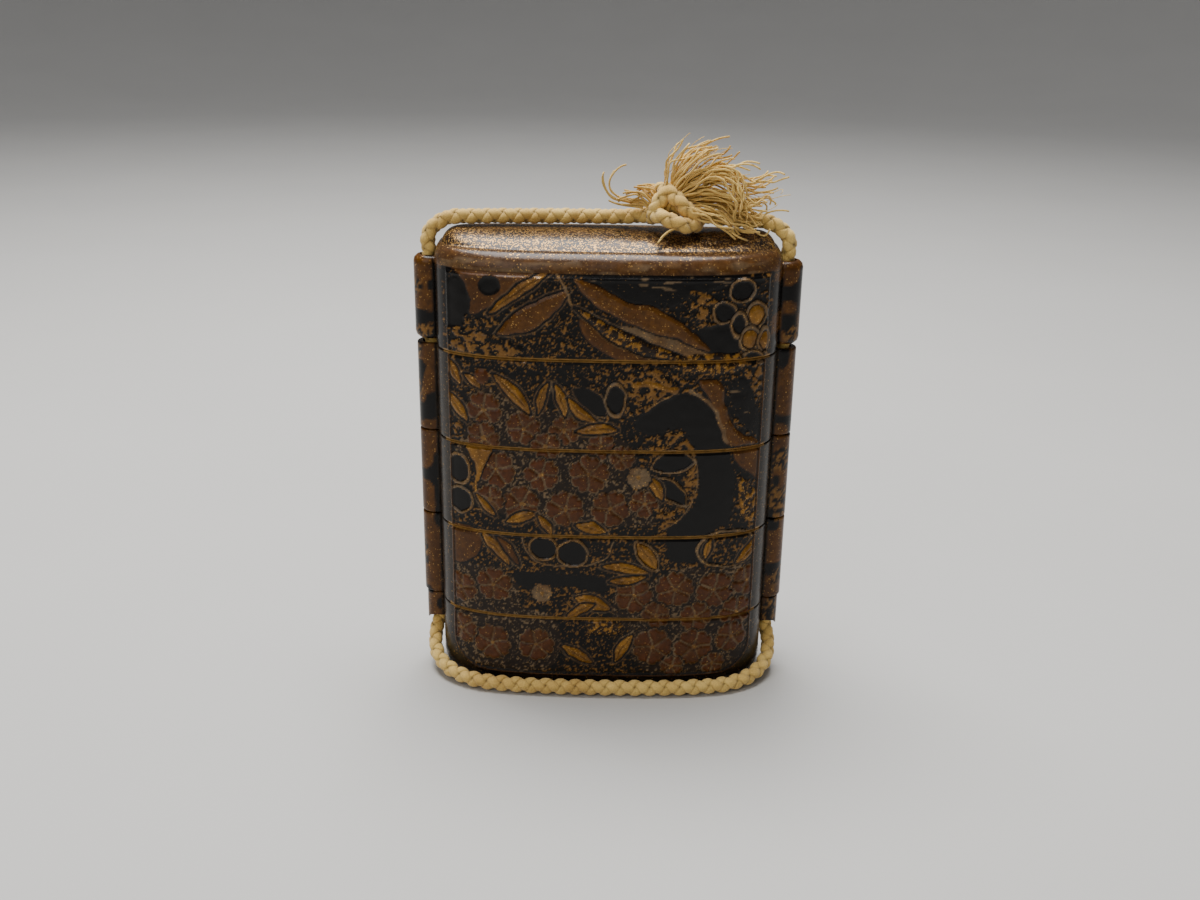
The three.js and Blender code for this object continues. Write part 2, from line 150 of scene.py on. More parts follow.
# Locks of loose thread, from the knot out to their tips
LONG_LOCKS = [
    [(9.4, -1, 78.4), (9, -1.2, 81), (9.5, -1.4, 83.4), (10.7, -1.2, 85.1), (12.4, -0.8, 86),
     (14, -0.4, 86.4)],
    [(9.6, -1, 78.6), (9.9, -0.6, 81.4), (10.7, -0.2, 83.6), (12.2, 0.2, 85.2), (14.4, 0.4, 85.9),
     (16.4, 0.6, 86.1)],
    [(9.6, -1.2, 78.5), (10.6, -2, 81), (12.3, -2.6, 83), (14.4, -2.8, 84.6), (16, -2.4, 85.4),
     (17.6, -2, 86)],
    [(9.8, -1, 78.5), (11.6, -0.2, 80.8), (13.8, 0.6, 82.6), (16, 1, 83.7), (18.2, 1.2, 84.2),
     (18.7, 1.2, 85.2)],
    [(9.8, -1.4, 78.4), (12, -2.4, 80.6), (14.6, -3, 82.3), (17.6, -3, 83.2), (20, -2.6, 82.9),
     (21.6, -2.2, 82.4)],
    [(9.8, -1.2, 78.4), (12.4, -1.4, 80.1), (15.4, -1.4, 81.6), (18, -1.2, 81.4), (20.6, -0.6, 80.5),
     (23.6, 0, 81.1), (26, 0.4, 81.4)],
    [(10, -1, 78.2), (12.6, 0.2, 79.8), (15.6, 1, 80.6), (18.4, 1.2, 79.8), (21, 1.4, 79),
     (23.8, 1.2, 79.9)],
    [(10, -1.6, 78.2), (12.6, -2.8, 79.2), (15.6, -3.4, 79.6), (18.6, -3.4, 78.6), (21, -3, 77.6),
     (23.4, -2.6, 78), (25.4, -2.4, 78.1)],
    [(10, -1.2, 78), (12.8, -1.2, 78.6), (15.6, -1, 78.8), (18.4, -1, 77.8), (21.2, -1, 77.4),
     (23.6, -1.2, 78), (24.8, -1.4, 77.2), (24.3, -1.6, 76.2)],
    [(10.2, -1.8, 77.6), (12.4, -3.4, 77.9), (14.8, -4.2, 77.5), (16.8, -4.6, 76.4), (18.7, -4.8, 75.2),
     (20.2, -4.8, 74.6), (21.4, -4.6, 74.4)],
    [(10.2, -2, 77.4), (12, -4, 77), (13.8, -4.9, 76.7), (15.6, -5.1, 76.3), (17.2, -5.2, 75.4),
     (18.8, -5.2, 74.5), (20.2, -5, 74.2)],
    [(9.8, -1.4, 78.4), (12.6, -2.8, 81), (15.6, -3.8, 82.2), (18, -4.2, 80.8), (18.8, -4.4, 78.2),
     (18.7, -4.6, 75.8), (18.2, -4.8, 74.9)],
    [(9.8, -1.2, 78.6), (13, -1.8, 82), (16.4, -2.4, 83.2), (19, -3, 82), (19.5, -3.6, 79),
     (19.8, -4, 76.6), (21.4, -4, 74.7), (23, -3.6, 74.9), (24, -3.2, 75.9)],
    [(10.2, -1.2, 77.8), (13.4, -0.8, 78.2), (16.4, -0.6, 77.8), (19, -0.8, 77), (21.4, -1.6, 76.2),
     (22.6, -2.4, 75.6)],
]
SHORT_LOCKS = [
    [(7.4, -1, 77.4), (6, -1, 79.1), (4.7, -1.2, 79.6), (3.5, -1, 79.2)],
    [(7.4, -0.6, 77.8), (6.7, -0.5, 79.6), (5.6, -0.6, 80.1), (4.5, -0.8, 79.8)],
    [(7, -1.4, 77.2), (5, -1.6, 78.5), (3.3, -1.5, 78.4), (1.9, -1.3, 78)],
]
CURLS = [
    [(6.5, -1, 77.4), (3.6, -1, 78.2), (1.4, -1, 78.6), (0.2, -1, 79.7), (0, -1, 81.2), (0.8, -1, 82.5),
     (2.3, -1, 83.3), (4.2, -1, 83.4)],
    [(6, -1.2, 77.3), (2.6, -1.2, 77.9), (0.2, -1.2, 78.6), (-0.9, -1.2, 80), (-1.2, -1.2, 81.4),
     (-1, -1.2, 82.4)],
    [(5, -1.6, 77), (1, -1.6, 77.6), (-0.7, -1.5, 78.3), (-1.2, -1.4, 79.4)],
    [(10.4, -5.6, 75), (8.9, -6.4, 74.6), (7.7, -6.9, 73.8), (7, -7.4, 72.9)],
    [(14, -0.6, 77.4), (17, -2.4, 77.2), (20, -3.2, 76.6), (22.6, -3.4, 76.2), (24, -3, 76.8),
     (24.6, -2.8, 77.8)],
]

# ---------------------------------------------------------------- small sums


def linear(hex_colour):
    """An sRGB hex value as linear red, green and blue."""
    values = [int(hex_colour[i : i + 2], 16) / 255 for i in (1, 3, 5)]
    return [v / 12.92 if v <= 0.04045 else ((v + 0.055) / 1.055) ** 2.4 for v in values]


def smooth(value):
    """0 below 0, 1 above 1, and an easy curve between."""
    value = np.clip(value, 0.0, 1.0)
    return value * value * (3.0 - 2.0 * value)


def curve_through(points, steps):
    """A smooth curve through points, as a centripetal Catmull-Rom curve."""
    points = np.array(points, dtype=float)
    before, after = 2 * points[0] - points[1], 2 * points[-1] - points[-2]
    points = np.vstack((before, points, after))
    made = [points[1]]
    for a, b, c, d in zip(points, points[1:], points[2:], points[3:]):
        gaps = [max(np.linalg.norm(q - p), 1e-6) ** 0.5 for p, q in ((a, b), (b, c), (c, d))]
        start = (b - a) / gaps[0] - (c - a) / (gaps[0] + gaps[1]) + (c - b) / gaps[1]
        end = (c - b) / gaps[1] - (d - b) / (gaps[1] + gaps[2]) + (d - c) / gaps[2]
        start, end = start * gaps[1], end * gaps[1]
        for t in np.arange(1, steps + 1) / steps:
            made.append(
                (2 * t**3 - 3 * t**2 + 1) * b
                + (t**3 - 2 * t**2 + t) * start
                + (3 * t**2 - 2 * t**3) * c
                + (t**3 - t**2) * end
            )
    return np.array(made)


def lattice_noise(u, v, size, seed):
    """Smooth noise from 0 to 1, in blotches about size across."""
    table = np.random.default_rng(seed).random((64, 64))
    column, row = u / size + 500.0, v / size + 500.0
    i, j = np.floor(column).astype(int), np.floor(row).astype(int)
    a, b = smooth(column - i), smooth(row - j)
    i, j = i % 64, j % 64
    k, m = (i + 1) % 64, (j + 1) % 64
    low = table[i, j] * (1 - a) + table[k, j] * a
    high = table[i, m] * (1 - a) + table[k, m] * a
    return low * (1 - b) + high * b


# ---------------------------------------------------------------- the decoration

# What each finish is made of: its colour, the pattern of a second colour on it, how much gold dust
# it holds, how worn it is, and how far it stands above the panel
FINISHES = {
    "black": ("black", "plain", "black", 0.0, 0.0, 0.02),
    "scuffed": ("black", "streaked", "bare", 0.05, 0.15, 0.04),
    "speckled": ("black", "speckled", "flake", 0.06, 0.25, 0.0),
    "flaked": ("black", "flaked", "flake", 0.1, 0.3, 0.1),
    "umber": ("umber", "plain", "brown", 0.14, 0.15, 0.3),
    "brown": ("brown", "plain", "umber", 0.12, 0.2, 0.12),
    "gold": ("gold", "plain", "umber", 0.2, 0.15, 0.3),
    "gold_grain": ("earth", "flaked", "gold", 0.2, 0.3, 0.2),
    "petal": ("russet", "plain", "brown", 0.08, 0.3, 0.32),
    "russet": ("earth", "speckled", "bare", 0.06, 0.4, 0.02),
    # The "worn" finish is real wear in places, and painted highlight where it edges raised leaves and petals and runs
    # along the ring's outer edge
    "worn": ("bare", "plain", "umber", 0.15, 0.6, 0.06),
    "line": ("bare", "plain", "flake", 0.2, 0.6, 0.3),
    "rim": ("rim", "plain", "umber", 0.15, 0.05, 0.0),
    "side": ("side", "plain", "black", 0.1, 0.15, 0.0),
    "nashiji": ("earth", "plain", "rim", 0.8, 0.1, 0.0),
}

# Each mark is a kind, a finish and its numbers, and is laid over the ones before it. An area, a
# stroke and a line are points across and up the face. A leaf is x, z, length, width, turn and bow,
# a blossom is x, z, size and turn, and a round is x, z, half width and half height.
FRONT = [
    # Lid
    ("area", "brown", [
        (-25, 69.5), (-10.3, 69.5), (-13, 66.5), (-17, 63.8), (-20, 62.2), (-21.5, 63.5), (-20.8, 66),
        (-22, 68),
    ]),
    ("round", "black", (-22.4, 64.3, 2.2, 3.6)), ("round", "black", (-17.3, 66.8, 1.7, 1.6)),
    ("round", "black", (-22.8, 60.6, 1.6, 1.6)), ("round", "black", (-24.2, 67.8, 0.9, 1.6)),
    ("area", "scuffed", [(-4.5, 69.5), (13, 69.5), (20, 68.3), (13, 66), (9, 64), (3, 64.6), (0, 66.6)]),
    ("area", "flaked", [(12, 66.6), (14.5, 66.2), (17.8, 62.5), (16.5, 60.6), (13.6, 61.4), (12, 63)]),
    ("area", "black", [(14.2, 61), (19, 61.4), (20.4, 58.6), (18.6, 56.6), (15.4, 57.2)]),
    ("area", "flaked", [(-24, 60), (-20, 59.8), (-16, 59), (-12, 57.4), (-14, 56), (-20, 56), (-24, 57)]),
    ("area", "worn", [(2, 61.2), (7, 60.2), (12, 58.9), (15.3, 57), (12, 56.4), (7, 57.4), (3, 59)]),
    ("area", "brown", [
        (-4, 62.4), (-1, 60.2), (2.5, 58.4), (8, 56.3), (2.5, 56), (-1.5, 57.9), (-3.6, 60.2),
    ]),
    ("leaf", "gold_grain", (4.1, 60, 19.4, 2, -24, -1.3)),
    ("leaf", "gold", (-12.9, 65.9, 11.5, 1.5, 36, 0.3)),
    ("leaf", "umber", (-11, 63, 12.6, 3.4, 33, -0.4)),
    ("area", "umber", [
        (-5, 68.2), (-1, 67), (3, 64.9), (6.5, 64.3), (9.5, 62.8), (12, 61), (15.4, 57.4), (10, 59.6),
        (6, 60.6), (2, 62.3), (-2, 64.6),
    ]),
    ("stroke", "line", 0.45, [(-7.6, 69.2), (-6.4, 66.8), (-5.3, 64.4)]),
    ("ringed", "black", (19.8, 66.5, 1.6, 1.6)), ("ringed", "black", (17.2, 63.3, 1.5, 1.4)),
    ("ringed", "gold", (22, 62.6, 1.3, 1.8)), ("ringed", "black", (19.4, 61.3, 0.9, 1.5)),
    ("ringed", "gold", (21.2, 59, 1.2, 1.6)), ("ringed", "gold", (23.5, 58.6, 0.8, 1.6)),
    ("ringed", "black", (21.7, 56, 1.3, 1)), ("ringed", "black", (23.6, 53.6, 1.1, 1.3)),
    # Upper tray
    ("area", "gold_grain", [(9, 56.4), (21, 56.4), (20.2, 54.6), (16.5, 53.7), (13, 54.2), (10, 55)]),
    ("area", "umber", [
        (13.8, 52.8), (17.3, 52.6), (18.1, 49), (19.6, 45.2), (24.2, 42), (18.9, 42.2), (17.1, 46),
        (15.6, 50),
    ]),
    ("area", "scuffed", [
        (18.4, 52.6), (20.6, 53.2), (23.2, 47.6), (24.4, 43), (21.5, 44.4), (19.4, 47.6),
    ]),
    ("area", "flaked", [(20, 55.6), (24.2, 54), (24.4, 47.6), (22.6, 50.4), (20.8, 53)]),
    ("area", "flaked", [
        (2.6, 55.2), (6.5, 55), (10.8, 52.6), (10.6, 50.2), (7.2, 47.2), (4, 46.6), (2.4, 50),
    ]),
    ("stroke", "gold", 0.9, [(4.2, 52.2), (7, 52.3), (10.6, 51.4)]),
    ("area", "russet", [
        (-21.5, 47), (-19.5, 50.4), (-16, 50.6), (-12, 47.4), (-8, 48), (-5, 46.2), (-4, 44.4), (3, 43.4),
        (4.6, 40), (-23, 40), (-21.4, 44),
    ]),
    ("round", "black", (-8.1, 50.5, 1.5, 2.4)),
    ("leaf", "gold", (-9.5, 50, 5.2, 1.2, 72, 0.2)), ("leaf", "gold", (-6.9, 49.6, 5.6, 1.4, -72, 0.3)),
    ("leaf", "gold", (-14.2, 50.3, 8.2, 2, -47, 0.4)), ("leaf", "black", (-2.4, 49.4, 6, 2.6, -42, 0.3)),
    ("leaf", "gold", (-3.4, 48.1, 6, 1.6, -40, -0.7)), ("leaf", "gold", (-1.2, 44.9, 6.4, 1.6, 5, 0.3)),
    ("leaf", "gold", (-23, 47.8, 6.4, 1.6, -50, 0.2)), ("leaf", "gold", (-23.2, 53, 4.6, 1.4, -62, 0.3)),
    ("leaf", "gold", (-20.2, 51.8, 3.2, 1.2, -40, 0.2)), ("round", "petal", (-18.8, 52.8, 1.2, 1.3)),
    ("ringed", "black", (1.5, 49.8, 1.3, 2.3)),
    # Ring
    ("area", "black", [
        (6.3, 48.2), (9, 50.2), (13, 51), (15.8, 48.4), (18.2, 42.8), (19.9, 38), (20.1, 33.5), (19.4, 29.4),
        (16, 27.8), (14.8, 23.6), (10.4, 23.4), (9.8, 27.2), (10.6, 29.7), (13.2, 31.9), (14.4, 35),
        (14.3, 38.4), (13.2, 42.6), (11, 45.5), (8.6, 44.6), (6.4, 44.4), (4, 46),
    ]),
    # Painted sheen: a pale stroke for the light reflected along the ring's outer edge
    ("stroke", "worn", 0.6, [(12.6, 51.4), (15.9, 49), (18.5, 43)]),
    ("stroke", "line", 0.25, [(6.2, 48.3), (9, 50.3), (11, 50.9)]),
    ("area", "flaked", [(6.8, 42), (9, 44.4), (11, 45.3), (12.6, 43.6), (13.2, 41.4), (7, 41)]),
    ("area", "flaked", [
        (7.2, 32.6), (9.2, 28.8), (12.4, 31), (14.1, 35), (13.5, 40.4), (12, 38), (12.2, 33.4),
        (10.2, 31.8),
    ]),
    ("ringed leaf", "black", (10.5, 39.6, 6.4, 3.4, 8, 0.5)), ("ringed leaf", "black", (10.3, 35, 6.2, 2.6, -42, 0.2)),
    ("leaf", "gold", (7.9, 35.6, 4.6, 1.6, -58, 0.2)),
    ("stroke", "line", 0.25, [(13.5, 41.2), (14.3, 38), (14, 34.6), (12.2, 31.2), (9.6, 28.8)]),
    # Middle tray
    ("area", "russet", [
        (-19.4, 42), (-20, 36), (-18.6, 31), (-14, 30.6), (-8, 30), (0, 29.4), (8, 29.6), (9, 33),
        (6.6, 35.4), (3.6, 36), (4.4, 42),
    ]),
    ("blossom", "worn", (5.2, 37.4, 0.55, 10)),
    ("area", "gold", [(-21.4, 41.4), (-17.2, 41.4), (-18.5, 38.6), (-19.4, 35.4), (-20, 38.4)]),
    ("stroke", "gold", 0.5, [(-19.5, 37), (-19.8, 34), (-18.2, 31)]),
    ("ringed", "black", (-22.5, 37.3, 1.6, 2.2)), ("ringed", "black", (-22.4, 32.2, 1.7, 1.9)),
    ("leaf", "gold", (-12.8, 30.2, 5, 1.7, 18, 0.2)), ("leaf", "gold", (-9.2, 29.2, 4, 1.5, -55, 0.2)),
    ("leaf", "gold", (-2, 28.7, 4.8, 1.8, -15, 0.2)), ("leaf", "gold", (-18.4, 31.8, 4.4, 1.2, -50, 0)),
    ("area", "gold_grain", [(20.6, 37.2), (24.3, 33), (24.3, 28.8), (21.6, 30), (21, 34)]),
    ("area", "brown", [(19.4, 41.6), (24.6, 41.6), (24.6, 35.6), (22.6, 37.2), (20.6, 39)]),
    # Lower tray
    ("area", "brown", [(-24.6, 27.4), (-19.4, 27.2), (-19.8, 23), (-24.6, 21)]),
    ("leaf", "gold", (-16.9, 24.6, 6.8, 1.6, -50, 0.2)), ("leaf", "brown", (-15, 24.4, 6, 1.3, -52, 0.2)),
    ("area", "black", [(-14, 20.6), (-6, 20.8), (1.4, 20), (0.6, 17.8), (-6, 18.6), (-13, 18.2)]),
    ("ringed", "black", (-9.4, 25.2, 2, 1.8)), ("ringed", "black", (-4.8, 24.4, 2.2, 2.1)),
    ("stroke", "line", 0.3, [
        (-12.8, 26.6), (-11.8, 24), (-9.6, 22.6), (-6.4, 22.2), (-2.6, 22.4), (0.6, 24), (1.6, 26.6),
    ]),
    ("ringed leaf", "gold", (6.8, 24.1, 5.8, 2.4, -55, 0.2)),
    ("leaf", "gold", (3.6, 21.7, 7.4, 1.6, -8, 0.3)), ("leaf", "gold", (4, 20.1, 6, 1.3, 10, -0.2)),
    ("ringed", "speckled", (19.4, 25, 4.4, 2.9)), ("leaf", "gold", (22.7, 24.4, 5.2, 1.8, 52, -0.4)),
    ("leaf", "gold", (16.4, 25.2, 3.4, 1.1, 78, 0)),
    ("area", "russet", [(2.6, 19), (8, 20), (13, 22.2), (18, 21.4), (24.4, 22.4), (24.4, 12), (2.2, 12)]),
    ("leaf", "gold", (-1.6, 15.6, 5.8, 2.4, -20, 0.3)), ("blossom", "worn", (-9.6, 17.4, 0.5, 12)),
    ("area", "russet", [(-24.4, 20.6), (-15, 20.4), (-13, 16), (-15.4, 12), (-24.4, 12)]),
    # Foot
    ("area", "gold_grain", [(-2.6, 12.5), (3, 12.5), (3.2, 10.7), (-1.6, 10.4)]),
    ("leaf", "gold", (3.6, 7.8, 5.4, 1.7, 60, 0.2)),
    ("area", "russet", [(5, 13.4), (24.4, 13.4), (24.4, 5), (18, 3.2), (8, 3.4), (5, 6)]),
    ("area", "russet", [(-24.4, 13.4), (-8, 13.4), (-6.6, 8), (-9, 3.4), (-19, 3.4), (-24.4, 6)]),
    ("leaf", "gold", (-4, 6.4, 6, 1.8, -30, 0.3)), ("leaf", "gold", (-3.4, 14.4, 5, 1.6, 30, 0.3)),
]
FRONT_BLOSSOMS = [
    (-18.4, 47.6, 0.85, 12), (-12.4, 45, 0.85, 40), (-6.2, 44.8, 0.75, 10), (-18.6, 43, 0.8, 30),
    (-9, 42.2, 0.7, 0), (-0.6, 42.4, 0.7, 20), (-16.6, 38, 0.95, 18), (-9.6, 37.6, 0.85, 0),
    (-2.4, 37.8, 0.95, 50), (2.6, 40.6, 0.6, 5), (-12.8, 32.6, 0.9, 60), (-17.6, 33, 0.7, 20),
    (-6, 32, 0.9, 5), (1, 32.2, 0.95, 30), (6.2, 33, 0.7, 12), (5, 17.2, 0.95, 25),
    (11.4, 18.4, 0.95, 50), (17.8, 18, 0.95, 12), (23, 19, 0.8, 33), (8.6, 13.8, 0.7, 8),
    (15, 13.4, 0.8, 40), (21.4, 13.6, 0.85, 16), (8.2, 8.2, 1, 35), (14.8, 8, 1, 5), (20.8, 9.2, 0.8, 20),
    (11.4, 4.6, 0.6, 5), (18, 4.8, 0.6, 50), (-17.2, 18.4, 0.9, 50), (-22.6, 17, 0.8, 12),
    (-17.6, 8, 0.95, 12), (-10.6, 8.2, 0.9, 30), (-22.6, 9.6, 0.8, 40),
]
BACK = [
    ("area", "brown", [(-25, 69.5), (-15, 69.5), (-17, 64), (-25, 60)]),
    ("area", "scuffed", [(-4, 69.5), (8, 69.5), (5, 66), (0, 65)]),
    ("leaf", "umber", (-10, 62.8, 18, 3.6, 27, -0.5)), ("leaf", "umber", (9, 63, 18, 3.6, -29, 0.8)),
    ("leaf", "gold_grain", (8.4, 59.6, 16, 1.8, -27, -0.8)), ("leaf", "gold", (-11, 66, 11, 1.5, 30, 0.3)),
    ("area", "flaked", [(-20, 60), (-8, 58.8), (-10, 56), (-22, 56)]),
    ("area", "black", [
        (2, 50.6), (8, 53.6), (15, 50.6), (19, 43), (18.4, 33), (14, 27.4), (12, 30), (14.6, 36),
        (13, 43), (8, 46.6), (3, 46),
    ]),
    ("area", "flaked", [(4, 44), (8, 45.6), (11.6, 42), (11, 38), (6, 39)]),
    ("area", "russet", [(-20, 51), (-12, 53), (-4, 51), (-3, 45.4), (-12, 44), (-20, 46)]),
    ("area", "russet", [(-17, 38), (-9, 38.6), (1, 37), (0, 29.4), (-9, 29), (-17, 30)]),
    ("area", "russet", [(5, 24), (20, 23), (22, 15), (12, 14.6), (4, 15)]),
    ("area", "russet", [(-17, 12), (-9, 12.4), (-8, 4), (-16, 4)]),
    ("area", "gold_grain", [(14, 56), (23, 56), (21, 51.6), (17, 53)]),
    ("leaf", "gold", (11, 48.6, 10, 3, 35, 0.4)), ("leaf", "gold", (7.6, 33.4, 8, 2.4, -50, 0.3)),
    ("leaf", "gold", (-4.4, 20.4, 10, 2.8, 20, 0.4)), ("leaf", "gold", (3, 8, 9, 2.4, -15, 0.3)),
    ("leaf", "gold", (-19, 25, 7, 1.8, 50, 0.3)), ("leaf", "gold", (-9, 24.6, 6, 1.6, -40, 0.3)),
    ("ringed", "black", (-17, 19.6, 1.8, 1.8)), ("ringed", "gold", (20.6, 62, 1.3, 1.6)),
    ("ringed", "black", (18, 64.6, 1.5, 1.5)), ("leaf", "umber", (15, 6.6, 8, 2.2, 24, 0.3)),
]
BACK_BLOSSOMS = [
    (-15, 48, 0.95, 12), (-7.6, 49.6, 0.9, 48), (-12.6, 34, 0.95, 24), (-5, 33, 0.9, 50),
    (13.6, 34.6, 0.95, 5), (8.4, 19.8, 0.95, 30), (15.6, 19, 0.9, 0), (-13, 8, 0.9, 36),
]
BLOSSOM_RADIUS = 3.4


def turned(u, v, x, z, turn):
    """Points seen from a mark's own middle, with its turn taken away."""
    c, s = math.cos(math.radians(turn)), math.sin(math.radians(turn))
    return (u - x) * c + (v - z) * s, (v - z) * c - (u - x) * s


def inside_leaf(u, v, x, z, length, width, turn, bow):
    p, q = turned(u, v, x, z, turn)
    along = np.clip(p / length + 0.5, 0.0, 1.0)
    swell = np.sin(math.pi * along)
    side = swell**0.75 * width / 2 - np.abs(q - bow * swell)
    return np.minimum(side, length / 2 - np.abs(p) + 0.02)


def inside_round(u, v, x, z, half_width, half_height):
    far = np.hypot((u - x) / half_width, (v - z) / half_height)
    return (1.0 - far) * min(half_width, half_height)


def inside_area(u, v, points):
    """How far inside a smooth closed outline each point is, and less than 0 outside it."""
    loop = curve_through([points[-1], *points, points[0], points[1]], 5)[5:-5]
    near, inside = np.full(len(u), 1e3), np.zeros(len(u), dtype=bool)
    for (ax, az), (bx, bz) in zip(loop, np.roll(loop, -1, axis=0)):
        near = np.minimum(near, from_segment(u, v, (ax, az), (bx, bz)))
        if az != bz:
            inside ^= ((az > v) != (bz > v)) & (u < ax + (bx - ax) * (v - az) / (bz - az))
    return np.where(inside, near, -near)


def from_segment(u, v, start, end):
    dx, dz = end[0] - start[0], end[1] - start[1]
    t = np.clip(((u - start[0]) * dx + (v - start[1]) * dz) / max(dx * dx + dz * dz, 1e-9), 0, 1)
    return np.hypot(u - start[0] - t * dx, v - start[1] - t * dz)


def inside_stroke(u, v, width, points):
    loop = curve_through(points, 5)
    near = np.full(len(u), 1e3)
    for start, end in zip(loop, loop[1:]):
        near = np.minimum(near, from_segment(u, v, start, end))
    return width / 2 - near


def inside_blossom(u, v, x, z, size, turn):
    """How far inside a blossom each point is, how far from the nearest cleft, and how far from its eye."""
    p, q = turned(u, v, x, z, turn)
    radius = BLOSSOM_RADIUS * size
    far, angle = np.hypot(p, q), np.arctan2(q, p)
    petal = (angle * 5 / (2 * math.pi)) % 1.0 - 0.5
    edge = radius * (0.74 + 0.26 * np.sqrt(np.cos(math.pi * petal)) - 0.12 * np.exp(-((petal / 0.09) ** 2)))
    cleft = far * np.sin((0.5 - np.abs(petal)) * 2 * math.pi / 5)
    return edge - far, cleft, far


class Coat:
    """What lies on each point of a face: its colour, gold dust, wear, and height above the panel."""

    def __init__(self, u, v, colours, seed):
        self.u, self.v, self.seed, self.colours = u, v, seed, colours
        self.colour = np.zeros((len(u), 3))
        self.dust, self.wear, self.rise = np.zeros(len(u)), np.zeros(len(u)), np.zeros(len(u))
        # Hand-drawn edges wander a little
        self.drawn_u = u + 0.34 * (lattice_noise(u, v, 1.5, seed) - 0.5)
        self.drawn_u += 0.12 * (lattice_noise(u, v, 0.5, seed + 1) - 0.5)
        self.drawn_v = v + 0.34 * (lattice_noise(u, v, 1.5, seed + 2) - 0.5)
        self.drawn_v += 0.12 * (lattice_noise(u, v, 0.5, seed + 3) - 0.5)

    def pattern(self, kind, at):
        """How much of a finish's second colour shows at each point."""
        u, v, seed = self.u[at], self.v[at], self.seed
        if kind in ("flaked", "speckled"):
            size, level = (0.72, 0.52) if kind == "flaked" else (0.5, 0.65)
            field = 0.62 * lattice_noise(u * 0.95 + v * 0.3, v * 1.1 - u * 0.3, 0.8 * size, seed + 4)
            field += 0.38 * lattice_noise(u, v, 0.36 * size, seed + 5)
            thick = 0.14 * (lattice_noise(u, v, 3.5, seed + 6) - 0.5)
            spots = smooth((field + thick - level) / 0.06)
            vein = smooth((0.012 - np.abs(field - 0.43)) / 0.008) * 0.5
            return np.maximum(spots, vein)
        if kind == "streaked":
            mark = lattice_noise(u * 0.4, v * 3.2, 0.7, seed + 7) * lattice_noise(u, v, 2.4, seed + 8)
            return smooth((mark - 0.52) / 0.1) * 0.8
        return 0.55 * smooth(lattice_noise(u, v, 1.9, seed + 9) * 1.4 - 0.2)

    def lay(self, finish, amount, at=slice(None), raised=None):
        """Covers points with a finish, each by an amount from 0 to 1."""
        base, kind, second, dust, wear, rise = FINISHES[finish]
        second_part = np.broadcast_to(self.pattern(kind, at), amount.shape)
        mixed = self.colours[base] + (self.colours[second] - self.colours[base]) * second_part[:, None]
        if kind in ("flaked", "speckled"):
            rise = rise + 0.12 * second_part
        self.colour[at] += (mixed - self.colour[at]) * amount[:, None]
        self.dust[at] += (dust - self.dust[at]) * amount
        self.wear[at] += (wear - self.wear[at]) * amount
        lift = amount if raised is None else raised
        self.rise[at] += (rise - self.rise[at]) * lift

    def blossom(self, finish, numbers):
        reach = BLOSSOM_RADIUS * numbers[2] + 0.8
        at = np.flatnonzero(np.hypot(self.u - numbers[0], self.v - numbers[1]) < reach)
        inside, cleft, far = inside_blossom(self.drawn_u[at], self.drawn_v[at], *numbers)
        bed = "russet" if finish == "petal" else "speckled"
        self.lay(bed, smooth((inside + 0.45) / 0.15), at)
        within = np.minimum(inside, cleft * 1.1 - 0.02)
        # A pale line just inside each petal's edge: partly worn lacquer, partly painted highlight on the raised edge
        self.lay("worn", smooth((0.13 - np.abs(within - 0.06)) / 0.08) * 0.8, at)
        self.lay("black", smooth((0.1 - np.abs(within + 0.12)) / 0.08) * 0.8, at)
        self.lay(finish, smooth((within - 0.12) / 0.1), at, smooth(within / 0.45))
        self.lay("worn", smooth((0.14 - np.abs(far - 0.95)) / 0.1) * 0.35, at)
        self.lay("gold", smooth((0.4 - far) / 0.15) * 0.6, at)

    def mark(self, kind, finish, *numbers):
        """Draws one mark of the decoration."""
        if kind == "blossom":
            return self.blossom(finish, *numbers)
        if kind in ("area", "stroke"):
            middle, reach = np.mean(numbers[-1], axis=0), np.ptp(numbers[-1], axis=0).max() * 0.75 + 2.0
        else:
            middle, reach = numbers[0][:2], max(numbers[0][2:4]) + 1.5
        box = np.maximum(np.abs(self.u - middle[0]), np.abs(self.v - middle[1]))
        at = np.flatnonzero(box < reach)
        shape = {"area": inside_area, "stroke": inside_stroke, "round": inside_round, "ringed": inside_round}
        numbers = numbers if kind in ("area", "stroke") else numbers[0]
        inside = shape.get(kind, inside_leaf)(self.drawn_u[at], self.drawn_v[at], *numbers)
        if kind.startswith("ringed"):
            self.lay("black", smooth((inside + 0.6) / 0.15), at)
            self.lay("line", smooth((inside + 0.42) / 0.12), at, smooth((inside + 0.4) / 0.2))
            self.lay("black", smooth((inside + 0.08) / 0.12), at)
            inside = inside - 0.1
        elif kind == "leaf":
            # Painted highlight: a thin pale line just outside the leaf, for light on its raised edge
            self.lay("worn", smooth((inside + 0.55) / 0.1) * 0.55, at)
            self.lay("black", smooth((inside + 0.36) / 0.12), at)
        elif kind == "area" and finish in ("umber", "brown", "gold"):
            self.lay("black", smooth((inside + 0.3) / 0.14), at)
        self.lay(finish, smooth((inside + 0.02) / 0.14), at, smooth(inside / 0.5))
        if kind.endswith("leaf") and finish in ("gold", "umber"):
            p, q = turned(self.drawn_u[at], self.drawn_v[at], *numbers[:2], numbers[4])
            vein = np.abs(q - numbers[5] * np.sin(math.pi * np.clip(p / numbers[2] + 0.5, 0, 1)))
            if numbers[3] < 2.6:
                self.lay("black", smooth((0.12 - vein) / 0.08) * smooth((inside - 0.25) / 0.1) * 0.5, at)


